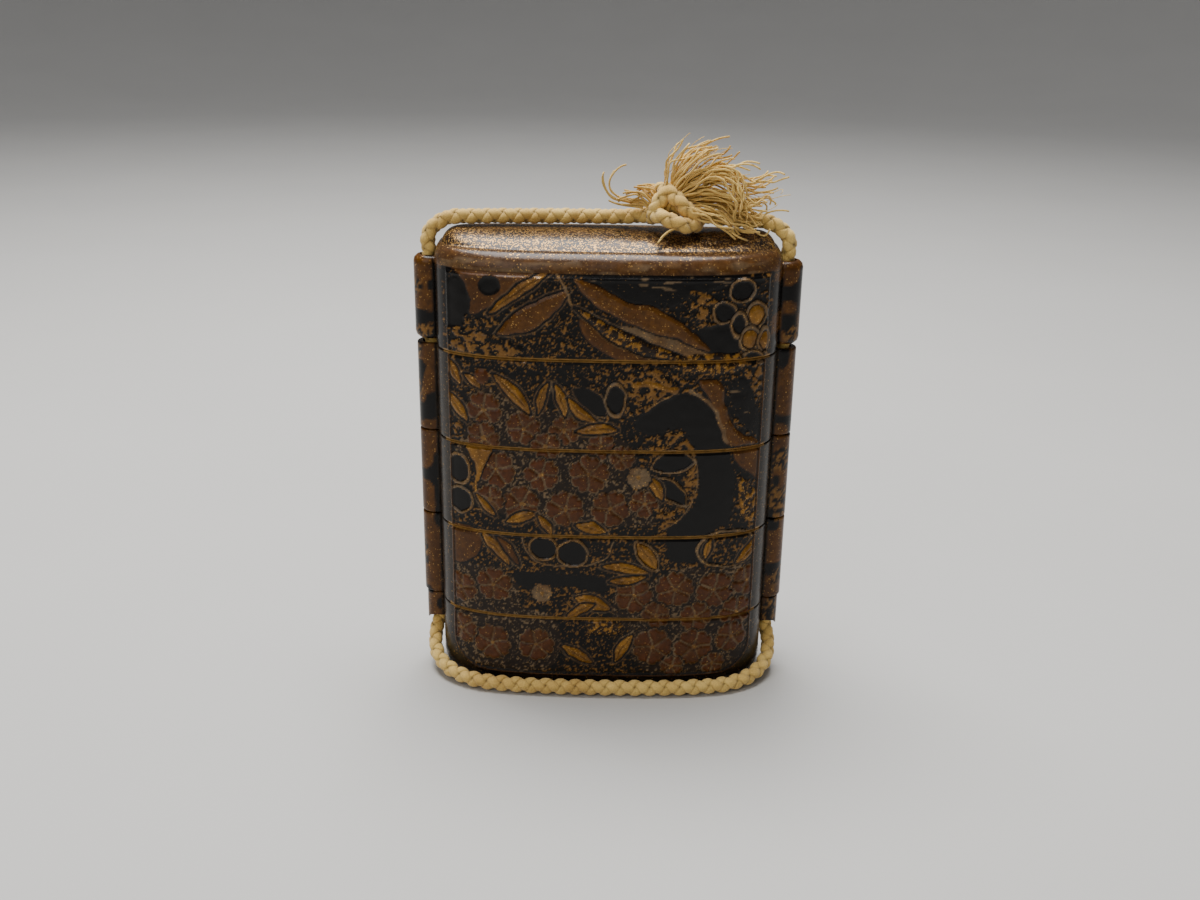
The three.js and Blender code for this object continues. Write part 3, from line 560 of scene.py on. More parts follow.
def paint_piece(points, colours):
    """Moves a case piece's points out to its relief, and gives the colour, dust and wear of each point."""
    x, y, z = points.T
    count = len(points)
    level = (np.abs(x) / HALF_WIDTH) ** OVAL_POWER + (np.abs(y) / HALF_DEPTH) ** OVAL_POWER
    colour = np.tile(colours["black"], (count, 1))
    dust, wear = np.full(count, 0.25), np.full(count, 0.3)

    # Inside, a brown ground sprinkled with gold
    inside = np.flatnonzero(level < 0.93)
    coat = Coat(x[inside], z[inside] + y[inside], colours, 90)
    coat.lay("nashiji", np.full(len(inside), 0.75))
    colour[inside], dust[inside], wear[inside] = coat.colour, coat.dust, coat.wear

    # Runners, and the plain strips beside them
    side = np.flatnonzero((level >= 0.93) & (np.abs(x) > PANEL_HALF_WIDTH - 0.8))
    around = np.arctan2(y[side], np.abs(x[side]) - CHANNEL_X) * RUNNER_RADIUS + np.sign(x[side]) * 40
    coat = Coat(around, z[side], colours, 60)
    coat.lay("side", np.ones(len(side)))
    runner = smooth((level[side] - 1.03) / 0.02) * smooth((3.0 - np.abs(y[side])) / 0.2)
    blotch = lattice_noise(around, z[side], 2.6, 61)
    coat.lay("black", smooth((z[side] - LID_START) / 0.2) * 0.9)
    coat.lay("umber", np.maximum(runner, 0.9 * smooth((z[side] - LID_START) / 0.2) * smooth((lattice_noise(around, z[side] * 0.5, 1.9, 63) - 0.5) / 0.1)))
    coat.lay("brown", runner * smooth((blotch - 0.55) / 0.08))
    coat.lay("black", runner * smooth((0.36 - blotch) / 0.06))
    coat.lay("flaked", runner * smooth((lattice_noise(around, z[side], 3.4, 62) - 0.66) / 0.06))
    colour[side], dust[side], wear[side] = coat.colour, coat.dust, coat.wear

    # The lid's top, and the worn band round its shoulder
    high = np.flatnonzero((z > PANEL_END) & (level < 1.02))
    coat = Coat(x[high], y[high] + z[high], colours, 70)
    coat.lay("rim", np.ones(len(high)))
    coat.lay("nashiji", smooth((z[high] - LID_EDGE_TOP + 0.5) / 0.8))
    rubbed = lattice_noise(x[high] * 0.5, z[high] * 2, 1.2, 71) * smooth((LID_EDGE_TOP - z[high]) / 1.5)
    coat.lay("worn", smooth((rubbed - 0.45) / 0.3) * 0.6)
    coat.lay("black", smooth((0.22 - np.abs(z[high] - PANEL_END - 0.25)) / 0.15) * 0.8)
    colour[high], dust[high], wear[high] = coat.colour, coat.dust, coat.wear

    # The decorated panels
    moved = points.copy()
    for facing, marks, blossoms, seed in ((-1, FRONT, FRONT_BLOSSOMS, 10), (1, BACK, BACK_BLOSSOMS, 30)):
        face = (level > 0.93) & (level < 1.03) & (y * facing > 4) & (np.abs(x) < PANEL_HALF_WIDTH + 0.6)
        face = np.flatnonzero(face & (z > PANEL_START - 0.6) & (z < PANEL_END + 0.6))
        u, v = -facing * x[face], z[face]
        coat = Coat(u, v, colours, seed)
        coat.lay("speckled", np.ones(len(face)))
        for kind, finish, *numbers in marks:
            if kind == "area" and finish == "russet":
                coat.mark(kind, finish, *numbers)
        for numbers in blossoms:
            coat.blossom("petal", numbers)
        for kind, finish, *numbers in marks:
            if not (kind == "area" and finish == "russet"):
                coat.mark(kind, finish, *numbers)
        # The panel's outline: straight sides with round lower corners
        round_u = np.maximum(np.abs(u) - PANEL_HALF_WIDTH + PANEL_CORNER, 0)
        round_v = np.maximum(PANEL_START + PANEL_CORNER - v, 0)
        inside = PANEL_CORNER - np.hypot(round_u, round_v)
        coat.lay("side", smooth((0.1 - inside) / 0.2) * (v < LID_START))
        coat.lay("black", smooth((0.18 - np.abs(inside - 0.7)) / 0.1) * (v < LID_START) * 0.8)
        coat.lay("brown", smooth((0.25 - np.abs(inside - 0.35)) / 0.12) * (v < LID_START) * 0.8)
        inside = np.minimum(inside, PANEL_END + 0.4 - v)
        height = PANEL_RISE * smooth(inside / 0.5) + np.clip(coat.rise, 0, 0.34) * smooth((inside - 0.1) / 0.4)
        height += 0.1 * smooth((0.4 - np.abs(inside - 0.45)) / 0.3)
        height += 0.05 * (lattice_noise(u, v, 1.3, seed + 20) - 0.5) * smooth(inside)
        seam = np.min([np.abs(v - at) for at in SEAMS], axis=0)
        height *= smooth((seam - 0.16) / 0.24)
        colour[face], dust[face] = coat.colour, coat.dust
        wear[face] = np.maximum(coat.wear, 0.6 * smooth((0.3 - seam) / 0.1))
        # A pale line on the chamfers beside each seam, in the gold-grain colour: partly worn edge, partly painted
        # highlight of light catching it
        bare = smooth((0.28 - seam) / 0.08)[:, None] * 0.7
        colour[face] += (0.7 * colours["glint"] - colour[face]) * bare
        out = np.stack((np.sign(x) * x**2 / HALF_WIDTH**3, np.sign(y) * y**2 / HALF_DEPTH**3), axis=1)[face]
        out /= np.linalg.norm(out, axis=1)[:, None]
        moved[face, :2] += out * height[:, None]
    return moved, colour, dust, wear


# ---------------------------------------------------------------- meshes


def new_mesh(name, points, faces):
    """A mesh in metres from points in millimetres."""
    mesh = bpy.data.meshes.new(name)
    mesh.from_pydata((np.asarray(points) * MM).tolist(), [], [list(face) for face in faces])
    mesh.update()
    return mesh


def new_object(name, mesh):
    made = bpy.data.objects.new(name, mesh)
    bpy.context.scene.collection.objects.link(made)
    return made


def evaluated(made):
    """Turns an object's modifiers into a plain mesh, and removes them."""
    graph = bpy.context.evaluated_depsgraph_get()
    mesh = bpy.data.meshes.new_from_object(made.evaluated_get(graph), depsgraph=graph)
    made.modifiers.clear()
    return mesh


def oval_columns(fine, wide):
    """Places round the oval, as parts of its half width and half depth: close together at the front."""
    turn = np.linspace(0, 2 * math.pi, 40001)
    across = np.sign(np.cos(turn)) * np.abs(np.cos(turn)) ** (2 / OVAL_POWER)
    back = np.sign(np.sin(turn)) * np.abs(np.sin(turn)) ** (2 / OVAL_POWER)
    x, y = across * HALF_WIDTH, back * HALF_DEPTH
    step = np.hypot(np.diff(x), np.diff(y))
    side = smooth((np.abs(x) - PANEL_HALF_WIDTH - 0.3) / 1.0)
    spacing = (fine + (wide - fine) * smooth(y / 2))[:-1]
    spacing = spacing + (2.2 * wide - spacing) * side[:-1]
    run = np.concatenate(([0], np.cumsum(step / spacing)))
    count = int(run[-1])
    at = np.searchsorted(run, np.arange(count) * run[-1] / count)
    return across[at], back[at]


def loft(rings, columns):
    """A closed mesh through rings of the oval; each ring is its inset, its height and its inset at the sides."""
    rings = np.array(rings)
    across, back = columns
    rows, count = len(rings), len(across)
    x = np.maximum(HALF_WIDTH - rings[:, 2:3], 0) * across
    y = np.maximum(HALF_DEPTH - rings[:, 0:1], 0) * back
    points = np.stack((x, y, np.repeat(rings[:, 1:2], count, axis=1)), axis=2).reshape(-1, 3)
    first, last = len(points), len(points) + 1
    points = np.vstack((points, (0, 0, rings[0, 1]), (0, 0, rings[-1, 1])))
    j, k = np.arange(count), np.roll(np.arange(count), -1)
    faces = [np.stack((r * count + j, r * count + k, (r + 1) * count + k, (r + 1) * count + j), axis=1) for r in range(rows - 1)]
    quads = np.vstack(faces).tolist()
    low = [(first, b, a) for a, b in zip(j, k)]
    top = (rows - 1) * count
    high = [(last, top + a, top + b) for a, b in zip(j, k)]
    return points, quads + low + high


def rod(radii, x, sides=48):
    """An upright rod through rings of radius and height. A runner's inner side is flattened into the wall."""
    turn = np.arange(sides) * 2 * math.pi / sides
    rings = [np.stack((x + r * np.cos(turn), r * np.sin(turn), np.full(sides, z)), axis=1) for r, z in radii]
    points = np.vstack(rings)
    if abs(x) > 0 and max(r for r, _ in radii) > CHANNEL_RADIUS + 0.3:
        points[:, 0] = np.sign(x) * np.maximum(np.abs(points[:, 0]), RUNNER_INSIDE)
    j, k = np.arange(sides), np.roll(np.arange(sides), -1)
    faces = []
    for r in range(len(radii) - 1):
        faces += np.stack((r * sides + j, r * sides + k, (r + 1) * sides + k, (r + 1) * sides + j), axis=1).tolist()
    top = (len(radii) - 1) * sides
    return points, faces + [j[::-1].tolist(), (top + j).tolist()]


def rows(low, high, step):
    """Heights from low to high, no more than a step apart."""
    return np.linspace(low, high, max(2, math.ceil((high - low) / step) + 1))


def eased_rod(radius, low, high, ease):
    """Rings of a rod whose two ends are rounded."""
    turns = np.radians([0, 30, 60, 90])
    start = [(radius - ease * (1 - math.sin(t)), low + ease * (1 - math.cos(t))) for t in turns]
    end = [(radius - ease * (1 - math.sin(t)), high - ease * (1 - math.cos(t))) for t in turns[::-1]]
    between = [(radius, z) for z in rows(low + ease, high - ease, 0.4)[1:-1]]
    return start + between + end


def combined(name, first, others, operation):
    """The first solid joined with, or cut by, the others."""
    made = new_object(name, first)
    tools = [new_object(name + "_tool", mesh) for mesh in others]
    for tool in tools:
        cut = made.modifiers.new("Cut", "BOOLEAN")
        cut.operation, cut.object, cut.solver = operation, tool, "MANIFOLD"
    mesh = evaluated(made)
    for spent in (made, *tools):
        bpy.data.objects.remove(spent)
    return mesh


def lower_rim(start):
    """Rings that round the outer edge above a seam."""
    turns = np.radians([0, 30, 60, 90])
    insets = [EDGE_BREAK * (1 - math.sin(t)) for t in turns]
    heights = [start + EDGE_BREAK * (1 - math.cos(t)) for t in turns]
    return list(zip(insets, heights, insets))


def tray_top(top, floor_top, floor_rings):
    """Rings of a tray's rim, its riser, and its inside down to the floor."""
    edge = top - SEAM_GAP
    rim = [(inset, edge - z, side) for inset, z, side in lower_rim(0)][::-1]
    high = top + RISER_HEIGHT
    riser = WALL + FIT_GAP
    flat = [
        (riser, edge),
        (riser, high - RIM_BREAK),
        (riser + RIM_BREAK, high),
        (INNER_INSET - RIM_BREAK, high),
        (INNER_INSET, high - RIM_BREAK),
        (INNER_INSET, floor_top),
    ]
    return rim + [(a, z, a) for a, z in flat] + floor_rings


def corner_inset(z):
    """How far the foot's lower corners draw in at a height."""
    below = max(0.0, FOOT_CORNER - z)
    return FOOT_CORNER - math.sqrt(FOOT_CORNER**2 - below**2)


def foot_edge_inset(z):
    below = max(0.0, FOOT_EDGE - z)
    return FOOT_EDGE - math.sqrt(FOOT_EDGE**2 - below**2)


def tray_rings(node):
    """The rings of one tray, from the middle of its underside out and up, and back in to its floor."""
    top = SEAMS[("foot_tray", *TRAYS).index(node)]
    if node == "foot_tray":
        heights = [*(FOOT_EDGE * (1 - np.cos(np.radians(range(0, 90, 9)))))]
        heights += [*rows(FOOT_EDGE, top - SEAM_GAP - EDGE_BREAK, RING_STEP)]
        outside = [(FOOT_EDGE + 4, 0, FOOT_CORNER + 4)]
        outside += [(foot_edge_inset(z), z, corner_inset(z)) for z in heights]
        inner = [(INNER_INSET + 0.6, FOOT_FLOOR, INNER_INSET + 1.6)]
        return outside[:-1] + tray_top(top, FOOT_CORNER, inner)
    start = SEAMS[TRAYS.index(node)]
    ledge = start + RISER_HEIGHT + FIT_GAP
    under = [(WALL + 3, ledge, WALL + 3), (WALL, ledge, WALL), (WALL, start, WALL)]
    wall = [(0, z, 0) for z in rows(start + EDGE_BREAK, top - SEAM_GAP - EDGE_BREAK, RING_STEP)[1:-1]]
    floor = ledge + TRAY_FLOOR
    return under + lower_rim(start) + wall + tray_top(top, floor, [(INNER_INSET + 3, floor, INNER_INSET + 3)])


def lid_rings():
    """The rings of the lid, from the middle of its inside out, up its wall, and over its domed top."""
    start = LID_START
    under = [(8, LID_TOP - CROWN_WALL - 0.2, 10), (WALL + LID_EDGE, LID_EDGE_TOP - CROWN_WALL, WALL + 1.2)]
    under += [(WALL, LID_SHOULDER, WALL), (WALL, start, WALL)]
    wall = [(0, z, 0) for z in rows(start + EDGE_BREAK, LID_SHOULDER, RING_STEP)[1:]]
    edge = []
    for turn in np.radians(np.arange(4, 88, 4)):
        inset = LID_EDGE * (1 - math.cos(turn))
        edge.append((inset, LID_SHOULDER + LID_EDGE * math.sin(turn), inset * LID_EDGE_AT_SIDES))
    # The top is domed from front to back, and nearly flat from end to end
    crown = []
    for part in np.linspace(0, 1, 24)[:-1]:
        inset = LID_EDGE + (HALF_DEPTH - LID_EDGE) * part
        side = LID_EDGE * LID_EDGE_AT_SIDES + 4.2 * part**1.4 + (HALF_WIDTH - 5.4) * smooth((part - 0.6) / 0.42)
        crown.append((inset, LID_EDGE_TOP + LID_CROWN * (1 - (1 - part) ** 2.6), side))
    crown.append((HALF_DEPTH - 0.02, LID_TOP, HALF_WIDTH - 0.02))
    return under + lower_rim(start) + wall + edge + crown


def case_piece(node, columns, colours, finish):
    """One tray, or the lid: its shell and runners joined, its channels cut, and its relief and colours laid on."""
    top = corners(node)[1][2]
    if node == "lid":
        rings = lid_rings()
        runner = eased_rod(LID_RUNNER_RADIUS, LID_START + LID_RUNNER_LIFT, LID_SHOULDER + 0.6, LID_RUNNER_ROUND)
    else:
        rings = tray_rings(node)
        low = FOOT_RUNNER_START if node == "foot_tray" else SEAMS[TRAYS.index(node)] + SEAM_GAP
        high = SEAMS[("foot_tray", *TRAYS).index(node)] - 2 * SEAM_GAP
        runner = eased_rod(FOOT_RUNNER_RADIUS if node == "foot_tray" else RUNNER_RADIUS, low, high, 0.25)
    sides = (-CHANNEL_X, CHANNEL_X)
    shell = new_mesh(node, *loft(rings, columns))
    runners = [new_mesh("runner", *rod(runner, x)) for x in sides]
    cuts = [new_mesh("channel", *rod([(CHANNEL_RADIUS, -1), (CHANNEL_RADIUS, top + 1)], x)) for x in sides]
    if node == "foot_tray":
        turns = np.radians(np.arange(6, 180, 12))
        globe = [(MOUTH_RADIUS * math.sin(t), FOOT_RUNNER_START - 0.2 - MOUTH_RADIUS * math.cos(t)) for t in turns]
        for x in sides:
            points, faces = rod(globe, x)
            cuts.append(new_mesh("mouth", points - (0, 0.7, 0), faces))
    joined = combined(node, shell, runners, "UNION")
    mesh = combined(node, joined, cuts, "DIFFERENCE")
    points = np.empty(len(mesh.vertices) * 3)
    mesh.vertices.foreach_get("co", points)
    moved, colour, dust, wear = paint_piece(points.reshape(-1, 3) / MM, colours)
    mesh.vertices.foreach_set("co", (moved * MM).ravel())
    tint = mesh.attributes.new("tint", "FLOAT_COLOR", "POINT")
    tint.data.foreach_set("color", np.hstack((colour, np.ones((len(colour), 1)))).ravel())
    for name, values in (("dust", dust), ("wear", wear)):
        mesh.attributes.new(name, "FLOAT", "POINT").data.foreach_set("value", values)
    mesh.materials.clear()
    mesh.materials.append(finish)
    mesh.shade_smooth()
    mesh.set_sharp_from_angle(angle=math.radians(50))
    mesh.update()
    piece = new_object(node + "_lacquered", mesh)
    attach(piece, "root")
    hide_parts(node)
    return piece


# ---------------------------------------------------------------- node trees


MATH = "ShaderNodeMath"
VECTOR = "ShaderNodeVectorMath"
NOISE = "ShaderNodeTexNoise"
RANGE = "ShaderNodeMapRange"
MIX = "ShaderNodeMix"
ATTRIBUTE = "ShaderNodeAttribute"
STORE = "GeometryNodeStoreNamedAttribute"
RANDOM = "FunctionNodeRandomValue"
FULL_TURN = 2 * math.pi


def add_node(tree, kind, inputs=(), **settings):
    """Adds a node with its settings and links.

    Its inputs come in order, or map a socket's name or number to what it holds: a value, the
    socket that feeds it, or a node whose first output feeds it.
    """
    made = tree.nodes.new(kind)
    for name, value in settings.items():
        setattr(made, name, value)
    for key, value in inputs.items() if isinstance(inputs, dict) else enumerate(inputs):
        if isinstance(value, bpy.types.Node):
            value = value.outputs[0]
        if isinstance(value, bpy.types.NodeSocket):
            tree.links.new(value, made.inputs[key])
        else:
            made.inputs[key].default_value = value
    return made


def geometry_tree(name, numbers, counts):
    """An empty geometry tree, with named inputs for its numbers, its counts and its material."""
    tree = bpy.data.node_groups.new(name, "GeometryNodeTree")
    tree.interface.new_socket("Geometry", in_out="INPUT", socket_type="NodeSocketGeometry")
    tree.interface.new_socket("Geometry", in_out="OUTPUT", socket_type="NodeSocketGeometry")
    for label in numbers:
        tree.interface.new_socket(label, in_out="INPUT", socket_type="NodeSocketFloat")
    for label in counts:
        tree.interface.new_socket(label, in_out="INPUT", socket_type="NodeSocketInt")
    tree.interface.new_socket("Material", in_out="INPUT", socket_type="NodeSocketMaterial")
    return tree, add_node(tree, "NodeGroupInput").outputs, add_node(tree, "NodeGroupOutput")


def grown(name, tree, chains, values):
    """The plain mesh that a tree grows along chains of points."""
    points = np.vstack(chains) * MM
    edges, start = [], 0
    for chain in chains:
        edges += [(start + i, start + i + 1) for i in range(len(chain) - 1)]
        start += len(chain)
    carrier = bpy.data.meshes.new(name)
    carrier.from_pydata(points.tolist(), edges, [])
    made = new_object(name, carrier)
    nodes = made.modifiers.new("Grow", "NODES")
    nodes.node_group = tree
    for item in tree.interface.items_tree:
        if item.in_out == "INPUT" and item.name in values:
            nodes[item.identifier] = values[item.name]
    mesh = evaluated(made)
    bpy.data.objects.remove(made)
    mesh.name = name
    return mesh


def braid_tree():
    """A round braid along each curve: strands of one hand pass over and under strands of the other."""
    numbers = (
        "Pitch", "Braid Radius", "Undulation", "Strand Width", "Strand Thickness", "Step", "Unevenness",
    )
    tree, given, result = geometry_tree("Round braid", numbers, ("Strands", "Sides"))
    curve = add_node(tree, "GeometryNodeMeshToCurve", {"Mesh": given["Geometry"]})
    step = {"Curve": curve, "Length": given["Step"]}
    curve = add_node(tree, "GeometryNodeResampleCurve", step, mode="LENGTH")
    run = add_node(tree, "GeometryNodeSplineParameter").outputs["Length"]
    normal = add_node(tree, "GeometryNodeInputNormal")
    tangent = add_node(tree, "GeometryNodeInputTangent")
    across = add_node(tree, VECTOR, (tangent, normal), operation="CROSS_PRODUCT")
    turns = add_node(tree, MATH, (run, given["Pitch"]), operation="DIVIDE")
    beats = add_node(tree, MATH, (turns, given["Strands"]), operation="MULTIPLY")
    beats = add_node(tree, MATH, (beats, FULL_TURN), operation="MULTIPLY")
    strands = add_node(tree, "GeometryNodeJoinGeometry")
    for hand in (1.0, -1.0):
        copied = {"Geometry": curve, "Amount": given["Strands"]}
        copies = add_node(tree, "GeometryNodeDuplicateElements", copied, domain="SPLINE").outputs
        share = add_node(tree, MATH, (copies["Duplicate Index"], given["Strands"]), operation="DIVIDE")
        angle = add_node(tree, MATH, (turns, share), operation="ADD")
        angle = add_node(tree, MATH, (angle, FULL_TURN * hand), operation="MULTIPLY")
        angle = add_node(tree, MATH, (angle, math.pi / 4), operation="ADD")
        beat = add_node(tree, MATH, (beats,), operation="COSINE")
        over = add_node(tree, MATH, (beat, hand), operation="MULTIPLY")
        radius = (over, given["Undulation"], given["Braid Radius"])
        radius = add_node(tree, MATH, radius, operation="MULTIPLY_ADD")
        noise = add_node(tree, NOISE, {"Scale": 500.0, "Detail": 0.0})
        noise = add_node(tree, MATH, (noise, 0.5), operation="SUBTRACT")
        radius = add_node(tree, MATH, (noise, given["Unevenness"], radius), operation="MULTIPLY_ADD")
        cosine = add_node(tree, MATH, (angle,), operation="COSINE")
        sine = add_node(tree, MATH, (angle,), operation="SINE")
        forward = add_node(tree, VECTOR, {0: normal, "Scale": cosine}, operation="SCALE")
        sideways = add_node(tree, VECTOR, {0: across, "Scale": sine}, operation="SCALE")
        outward = add_node(tree, VECTOR, (forward, sideways), operation="ADD")
        kept = {"Geometry": copies[0], "Name": "outward", "Value": outward}
        kept = add_node(tree, STORE, kept, data_type="FLOAT_VECTOR", domain="POINT")
        kept = {"Geometry": kept, "Name": "over", "Value": over}
        kept = add_node(tree, STORE, kept, data_type="FLOAT", domain="POINT")
        offset = add_node(tree, VECTOR, {0: outward, "Scale": radius}, operation="SCALE")
        moved = add_node(tree, "GeometryNodeSetPosition", {"Geometry": kept, "Offset": offset})
        tree.links.new(moved.outputs[0], strands.inputs[0])
    # Each strand is turned to lie flat against the cord, and its length along the cord is kept as run
    outward = {"Name": "outward"}
    outward = add_node(tree, "GeometryNodeInputNamedAttribute", outward, data_type="FLOAT_VECTOR")
    inward = add_node(tree, VECTOR, {0: outward, "Scale": -1.0}, operation="SCALE")
    turned_in = {"Curve": strands, "Normal": inward}
    strands = add_node(tree, "GeometryNodeSetCurveNormal", turned_in, mode="FREE")
    kept = {"Geometry": strands, "Name": "run", "Value": run}
    strands = add_node(tree, STORE, kept, data_type="FLOAT", domain="POINT")
    circle = {"Resolution": given["Sides"], "Radius": 1.0}
    section = add_node(tree, "GeometryNodeCurvePrimitiveCircle", circle, mode="RADIUS")
    factor = add_node(tree, "GeometryNodeSplineParameter").outputs["Factor"]
    kept = {"Geometry": section, "Name": "around", "Value": factor}
    section = add_node(tree, STORE, kept, data_type="FLOAT", domain="POINT")
    size = add_node(tree, "ShaderNodeCombineXYZ", (given["Strand Thickness"], given["Strand Width"], 1.0))
    section = add_node(tree, "GeometryNodeTransform", {"Geometry": section, "Scale": size})
    swept = {"Curve": strands, "Profile Curve": section, "Fill Caps": True}
    finish_tree(tree, add_node(tree, "GeometryNodeCurveToMesh", swept), given, result)
    return tree


def frayed_tree():
    """Loose wavy threads round each guide: they start together at its root, spread, and thin to their tips."""
    numbers = ("Spread", "Root Spread", "Wave", "Wave Length", "Thread Radius", "Step")
    tree, given, result = geometry_tree("Frayed threads", numbers, ("Threads", "Seed", "Sides"))
    curve = add_node(tree, "GeometryNodeMeshToCurve", {"Mesh": given["Geometry"]})
    step = {"Curve": curve, "Length": given["Step"]}
    curve = add_node(tree, "GeometryNodeResampleCurve", step, mode="LENGTH")
    copied = {"Geometry": curve, "Amount": given["Threads"]}
    copies = add_node(tree, "GeometryNodeDuplicateElements", copied, domain="SPLINE")
    spline = add_node(tree, "GeometryNodeInputIndex")
    number = add_node(tree, "GeometryNodeFieldOnDomain", (spline,), domain="CURVE", data_type="INT")
    parameter = add_node(tree, "GeometryNodeSplineParameter").outputs
    factor, run = parameter["Factor"], parameter["Length"]

    # Each thread leans its own way, further from its guide towards its tip
    seed = add_node(tree, MATH, (given["Seed"], 0), operation="ADD")
    away = {"Min": (-1.0,) * 3, "Max": (1.0,) * 3, "ID": number, "Seed": seed}
    away = add_node(tree, RANDOM, away, data_type="FLOAT_VECTOR")
    spread = add_node(tree, MATH, (factor, 1.2), operation="POWER")
    spread = add_node(tree, MATH, (spread, given["Spread"]), operation="MULTIPLY")
    spread = add_node(tree, MATH, (spread, given["Root Spread"]), operation="ADD")
    lean = add_node(tree, VECTOR, {0: away, "Scale": spread}, operation="SCALE")

    # It waves at a different rate along each axis, and more towards its tip
    seed = add_node(tree, MATH, (given["Seed"], 3), operation="ADD")
    phase = {"Min": (0.0,) * 3, "Max": (6.28,) * 3, "ID": number, "Seed": seed}
    phase = add_node(tree, RANDOM, phase, data_type="FLOAT_VECTOR")
    waves = add_node(tree, MATH, (run, FULL_TURN), operation="MULTIPLY")
    waves = add_node(tree, MATH, (waves, given["Wave Length"]), operation="DIVIDE")
    waves = add_node(tree, VECTOR, {0: (1.0, 1.31, 0.83), "Scale": waves}, operation="SCALE")
    waves = add_node(tree, VECTOR, (phase, waves), operation="ADD")
    waves = add_node(tree, VECTOR, (waves,), operation="SINE")
    size = add_node(tree, MATH, (factor, 0.8), operation="MULTIPLY")
    size = add_node(tree, MATH, (size, 0.2), operation="ADD")
    size = add_node(tree, MATH, (given["Wave"], size), operation="MULTIPLY")
    waves = add_node(tree, VECTOR, {0: waves, "Scale": size}, operation="SCALE")

    offset = add_node(tree, VECTOR, (lean, waves), operation="ADD")
    moved = add_node(tree, "GeometryNodeSetPosition", {"Geometry": copies, "Offset": offset})
    shorter = {"Min": 0.72, "Max": 1.0, "ID": number, "Seed": 9}
    shorter = add_node(tree, RANDOM, shorter, data_type="FLOAT")
    end = next(socket for socket in shorter.outputs if socket.type == "VALUE" and socket.enabled)
    trimmed = add_node(tree, "GeometryNodeTrimCurve", {"Curve": moved, "End": end}, mode="FACTOR")
    taper = add_node(tree, MATH, (factor, 0.3), operation="MULTIPLY")
    taper = add_node(tree, MATH, (1.0, taper), operation="SUBTRACT")
    circle = {"Resolution": given["Sides"], "Radius": given["Thread Radius"]}
    section = add_node(tree, "GeometryNodeCurvePrimitiveCircle", circle, mode="RADIUS")
    swept = {"Curve": trimmed, "Profile Curve": section, "Scale": taper, "Fill Caps": True}
    finish_tree(tree, add_node(tree, "GeometryNodeCurveToMesh", swept), given, result)
    return tree


def finish_tree(tree, mesh, given, result):
    """Ends a tree with real, smooth geometry in its material."""
    mesh = add_node(tree, "GeometryNodeRealizeInstances", {"Geometry": mesh})
    mesh = add_node(tree, "GeometryNodeSetShadeSmooth", {"Geometry": mesh})
    finish = {"Geometry": mesh, "Material": given["Material"]}
    mesh = add_node(tree, "GeometryNodeSetMaterial", finish)
    tree.links.new(mesh.outputs[0], result.inputs[0])


# ---------------------------------------------------------------- materials


def new_material(name):
    made = bpy.data.materials.new(name)
    made.use_nodes = True
    tree = made.node_tree
    return made, tree, tree.nodes["Principled BSDF"]


